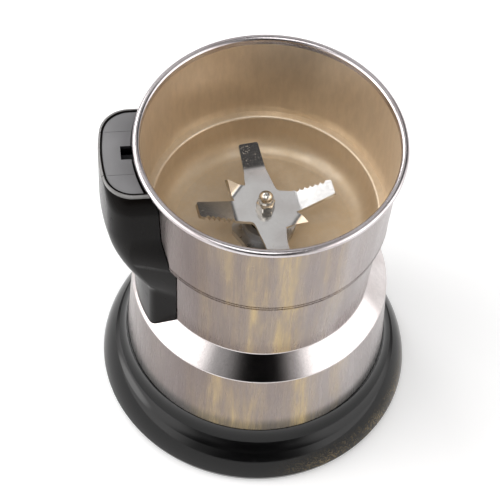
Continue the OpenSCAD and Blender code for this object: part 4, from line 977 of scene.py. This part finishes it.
def turned_by(points, angle):
    """Points turned round the drive axis."""
    return [(x * cos(angle) - y * sin(angle), x * sin(angle) + y * cos(angle)) for x, y in points]


def arm_half_w(r, arm):
    """Half width at a radius: from the hub to the fold, and from there to the tip."""
    at_fold, at_tip = arm["widths"]
    if r > arm["fold"]:
        return (at_fold + (at_tip - at_fold) * (r - arm["fold"]) / (arm["reach"] - arm["fold"])) / 2
    past = max(0, (r - HUB_ARM_R) / (arm["fold"] - HUB_ARM_R))
    return (HUB_ARM_W + (at_fold - HUB_ARM_W) * past) / 2


def arm_outline(arm, near, far):
    """Outline of an arm along +X, from radius near round the tip to far; its teeth lie at +Y."""
    tip, corner = arm["widths"][1] / 2, 0.9 * MM
    teeth_from, teeth_to = arm["fold"] + 1.8 * MM, arm["reach"] - 2.2 * MM
    pitch = (teeth_to - teeth_from) / max(arm["teeth"], 1)
    line = [(r, -arm_half_w(r, arm)) for r in (near, arm["fold"]) if r <= arm["fold"]]
    line += arc((arm["reach"] - corner, corner - tip), corner, -90, 0, 5)
    line += arc((arm["reach"] - corner, tip - corner), corner, 0, 90, 5)
    for i in reversed(range(arm["teeth"])):
        r = teeth_from + pitch * (i + 0.5)
        line += arc((r, arm_half_w(r, arm)), 0.46 * pitch, 0, -180, 8)
    return line + [(r, arm_half_w(r, arm)) for r in (arm["fold"], far) if r <= arm["fold"]]


def tab_outline(length, side):
    """A pointed tab along +X, beyond its fold, with its tip off the line by side."""
    return [(TAB_FOLD_R + 0.6 * length, 0.72 * side - 1.9 * MM),
            (TAB_FOLD_R + length - 0.3 * MM, side - 0.5 * MM), (TAB_FOLD_R + length, side)]


def blade_outline():
    """The flat blade: four arms, with a rounded corner or a tab between each two."""
    line = []
    for quarter in range(4):
        arm = TOOTHED if quarter % 2 else PLAIN
        near, far = (TAB_ROOT_R, CORNER_R) if quarter % 2 else (CORNER_R, TAB_ROOT_R)
        turn = radians(90 * quarter)
        line += turned_by(arm_outline(arm, near, far), turn)
        between = arc((CORNER_R + 2.6 * MM, 0), 2.2 * MM, 215, 145, 6)
        if quarter in TABS:
            length, side, _ = TABS[quarter]
            between = tab_outline(length, side)
        line += turned_by(between, turn + radians(45))
    return line


def folded(point, direction, fold_r, angle, half, widening):
    """Bends a point upwards across a direction, round a short curve that starts at the fold.
    Only the strip within half a width of the direction bends; it may widen with the distance."""
    out = point.x * cos(direction) + point.y * sin(direction)
    side = point.y * cos(direction) - point.x * sin(direction)
    past = out - fold_r
    if past <= 0 or abs(side) > half + widening * past:
        return point
    curve = BEND_LEN / angle
    turn = angle * min(1, past / BEND_LEN)
    rest = max(0, past - BEND_LEN)
    middle = BLADE_T / 2
    out = fold_r + curve * sin(turn) + rest * cos(turn) - (point.z - middle) * sin(turn)
    up = middle + curve * (1 - cos(turn)) + rest * sin(turn) + (point.z - middle) * cos(turn)
    return Vector((out * cos(direction) - side * sin(direction),
                   out * sin(direction) + side * cos(direction), up))


def plate_mesh(name, outline, hole_r, folds):
    """A plate of blade steel with a round hole, cut across and bent at each fold."""
    work = bmesh.new()
    edges = []
    for loop in (outline, circle(hole_r, HOLE_SIDES)):
        ring = [work.verts.new((x, y, 0)) for x, y in loop]
        edges += [work.edges.new((ring[i - 1], ring[i])) for i in range(len(ring))]
    bmesh.ops.triangle_fill(work, edges=edges, use_beauty=True)
    for direction, fold_r, *_ in folds:
        across = Vector((cos(direction), sin(direction), 0))
        for i in range(BEND_CUTS + 1):
            cut = work.verts[:] + work.edges[:] + work.faces[:]
            at = across * (fold_r + BEND_LEN * i / BEND_CUTS)
            bmesh.ops.bisect_plane(work, geom=cut, plane_co=at, plane_no=across, dist=1e-7)
    flat = [v.co.copy() for v in work.verts]
    work.verts.index_update()
    n = len(flat)
    tops = [tuple(v.index for v in f.verts) for f in work.faces]
    tops = [t if (flat[t[1]] - flat[t[0]]).cross(flat[t[2]] - flat[t[1]]).z > 0 else t[::-1]
            for t in tops]
    sides = dict.fromkeys((t[i - 1], t[i]) for t in tops for i in range(len(t)))
    rim = [(a, b) for a, b in sides if (b, a) not in sides]
    work.free()
    faces = [tuple(i + n for i in t) for t in tops] + [t[::-1] for t in tops]
    faces += [(a, b, b + n, a + n) for a, b in rim]
    points = flat + [p + Vector((0, 0, BLADE_T)) for p in flat]
    for fold in folds:
        points = [folded(p, *fold) for p in points]
    return mesh_of(name, [tuple(p) for p in points], faces)


def make_blade():
    """The blade, bent at its arms and tabs, with slightly worn edges."""
    folds = []
    lead = BEND_LEN / 2 - BEND_MIDDLE
    for quarter in range(4):
        arm = TOOTHED if quarter % 2 else PLAIN
        folds.append((radians(90 * quarter), arm["fold"] - lead, arm["bend"], HUB_ARM_W / 2, 0))
    for quarter, (_, _, angle) in TABS.items():
        folds.append((radians(90 * quarter + 45), TAB_FOLD_R, angle, TAB_HALF_W, 0.9))
    mesh = plate_mesh("four_arm_blade", blade_outline(), BOLT_HOLE_R, folds)
    obj = piece("four_arm_blade", mesh, [blade_steel], 30)
    obj.data.transform(Matrix.Translation((0, 0, BLADE_Z)) @ Matrix.Rotation(BLADE_TURN, 4, "Z"))
    edge = obj.modifiers.new("worn_edges", "BEVEL")
    edge.width = 0.12 * MM
    edge.segments = 2
    edge.limit_method = "ANGLE"
    edge.angle_limit = radians(50)
    dress(obj, "rotor", "polished_blade_steel", "blade")


make_blade()


NUT_TURN = radians(5)
NUT_SIDES = 96
HEX_SHARE = 0.42
CHAMFER_H = 0.75 * MM
DOME_INSET = 0.35 * MM
DOME_NECK = 0.35 * MM


def make_nut():
    """Cap nut: a hexagon with a turned chamfer under a dome, as rings of points."""
    flat_r = (top("dome_nut").x - bottom("dome_nut").x) / 2 * cos(radians(30))
    hex_z = NUT_Z + (NUT_TOP_Z - NUT_Z) * HEX_SHARE
    dome_r = flat_r - DOME_INSET
    profile = [(NUT_Z, 1.1 * flat_r), (NUT_Z + 0.3 * MM, 1.3 * flat_r),
               (hex_z - CHAMFER_H, 1.3 * flat_r)]
    profile += [(hex_z - CHAMFER_H * (1 - i / 6), flat_r * (1.18 - 0.22 * i / 6)) for i in range(7)]
    profile += [(hex_z, dome_r + 0.1 * MM), (hex_z + DOME_NECK, dome_r - 0.06 * MM)]
    centre_z = NUT_TOP_Z - dome_r
    profile += [(centre_z + dome_r * sin(radians(a)), dome_r * cos(radians(a))) for a in range(0, 88, 8)]
    rings = []
    for z, limit in profile:
        ring = []
        for k in range(NUT_SIDES):
            a = 2 * pi * k / NUT_SIDES
            hexagon = flat_r / cos((a - NUT_TURN) % radians(60) - radians(30))
            r = min(hexagon, limit)
            ring.append((r * cos(a), r * sin(a), z))
        rings.append(ring)
    mesh = loft_mesh("cap_nut", rings)
    obj = piece("cap_nut", mesh, [nut_steel], 24)
    dress(obj, "rotor", "polished_blade_steel", "dome_nut")


make_nut()


def make_rod_spring():
    """The coil under the push rod, which shortens towards its seat as the rod goes down.
    Its mesh is the node's own, with the finish already on it."""
    obj = piece("return_coil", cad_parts["interlock_spring"].data.copy(), [])
    dress(obj, "housing", "spring_steel", "interlock_spring")
    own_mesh(obj)


make_rod_spring()

# --- Floor, light and camera -------------------------------------------------------------------


FLOOR_RINGS = (0.02, 0.3, 0.8, 2.4)
FLOOR_SIDES = 96
FLOOR_GAP = 0.2 * MM
FLOOR_GLOW = 0.25


def make_floor():
    """A flat pale studio floor, seen white by the camera and by the metal."""
    points = [(x, y, 0) for r in FLOOR_RINGS for x, y in circle(r, FLOOR_SIDES)]
    faces = [tuple(range(FLOOR_SIDES))]
    for i in range(len(FLOOR_RINGS) - 1):
        for k in range(FLOOR_SIDES):
            a, b = (i * FLOOR_SIDES + at for at in (k, (k + 1) % FLOOR_SIDES))
            faces.append((a, a + FLOOR_SIDES, b + FLOOR_SIDES, b))
    mesh = mesh_of("studio_floor", points, faces)
    f = Finish("studio_floor", Roughness=0.9, Specular_IOR_Level=0.0)
    clouds = f.noise(f.place(), 3, 2, 0.5)
    f.colour(f.mix(f.ramp(clouds, 0.2, 0.8), (0.90, 0.90, 0.90), (0.93, 0.93, 0.93)))
    rays = f.node("ShaderNodeLightPath", {}).outputs
    mirrored = f.math("MAXIMUM", rays["Is Glossy Ray"], rays["Is Transmission Ray"])
    seen = f.math("MAXIMUM", rays["Is Camera Ray"], mirrored)
    f.shader.inputs["Emission Color"].default_value = (1, 1, 1, 1)
    f.tree.links.new(f.math("MULTIPLY", seen, FLOOR_GLOW), f.shader.inputs["Emission Strength"])
    floor = piece("studio_floor", mesh, [f.material])
    floor.location.z = cad_low[2] - FLOOR_GAP


make_floor()

LAMP_AIM = Vector((0, 0, 70 * MM))


def softbox(name, direction, distance, size, power):
    """A soft lamp that looks at the mill from a direction."""
    lamp = bpy.data.lights.new(name, "AREA")
    lamp.shape = "RECTANGLE"
    lamp.size, lamp.size_y = size
    lamp.energy = power
    obj = bpy.data.objects.new(name, lamp)
    bpy.context.scene.collection.objects.link(obj)
    obj.location = LAMP_AIM + Vector(direction).normalized() * distance
    obj.rotation_euler = (LAMP_AIM - obj.location).to_track_quat("-Z", "Y").to_euler()


STUDIO_TURN = radians(-10)


def in_studio(x, y, z):
    """A direction in the studio, which stands turned against the mill's own frame."""
    [(x, y)] = turned_by([(x, y)], STUDIO_TURN)
    return (x, y, z)


softbox("back_left_box", in_studio(-0.556, 0.56, 0.606), 1.3, (0.42, 0.42), 3.5)
softbox("top_box", in_studio(-0.10, -0.36, 0.93), 1.5, (0.8, 0.8), 5)


ROOM_LIGHT = 0.5
# Azimuth and elevation of the middle, half angles where it starts to fade and where it ends, and
# the light that a panel adds or the share of light that a flag leaves
BRIGHT_PANELS = (
    (-178, 24, 8, 20, 3.5), (-168, 12, 24, 50, 2.0), (-12, 10, 22, 46, 1.8), (90, 52, 10, 30, 0.2))
DARK_FLAGS = (
    (-84, 2, 12, 34, 0.10), (-90, 50, 18, 40, 0.15), (-82, 25, 6, 22, 0.06), (45, 38, 12, 24, 0.08),
    (90, 77, 9, 16, 0.08))


def make_world():
    """A pale room with bright panels and dark flags for the steel to reflect."""
    world = bpy.data.worlds.new("studio")
    world.use_nodes = True
    room = Nodes(world.node_tree)
    seen = room.node("ShaderNodeTexCoord", {}).outputs["Generated"]

    def spot(azimuth, elevation, inner, outer):
        """1 in a round spot of the room, 0 away from it."""
        a, e = radians(azimuth), radians(elevation)
        aim = Vector(in_studio(cos(a) * cos(e), sin(a) * cos(e), sin(e))).normalized()
        near = room.node("ShaderNodeVectorMath", {0: seen, 1: aim}, operation="DOT_PRODUCT")
        return room.ramp(near.outputs["Value"], cos(radians(outer)), cos(radians(inner)))

    light = ROOM_LIGHT
    for *place, added in BRIGHT_PANELS:
        light = room.math("MULTIPLY_ADD", spot(*place), added, light)
    for *place, left in DARK_FLAGS:
        light = room.product(light, room.ramp(spot(*place), 0, 1, 1, left, False))
    background = room.tree.nodes["Background"]
    room.tree.links.new(light, background.inputs["Strength"])
    background.inputs["Color"].default_value = (1, 0.99, 0.985, 1)
    bpy.context.scene.world = world


make_world()

CAMERA_AT = Vector((-0.0740982, -0.4202316, 0.6999008))
CAMERA_TURN = Euler([radians(a) for a in (34.19099, -2.50472, -5.71562)])
camera = bpy.data.objects.new("camera", bpy.data.cameras.new("camera"))
bpy.context.scene.collection.objects.link(camera)
camera.data.sensor_width = 36
camera.data.lens = 140.22
camera.data.clip_start = 0.01
camera.data.clip_end = 20
camera.matrix_world = Matrix.LocRotScale(CAMERA_AT, CAMERA_TURN, None)
bpy.context.scene.camera = camera
bpy.context.scene.view_settings.view_transform = "Standard"
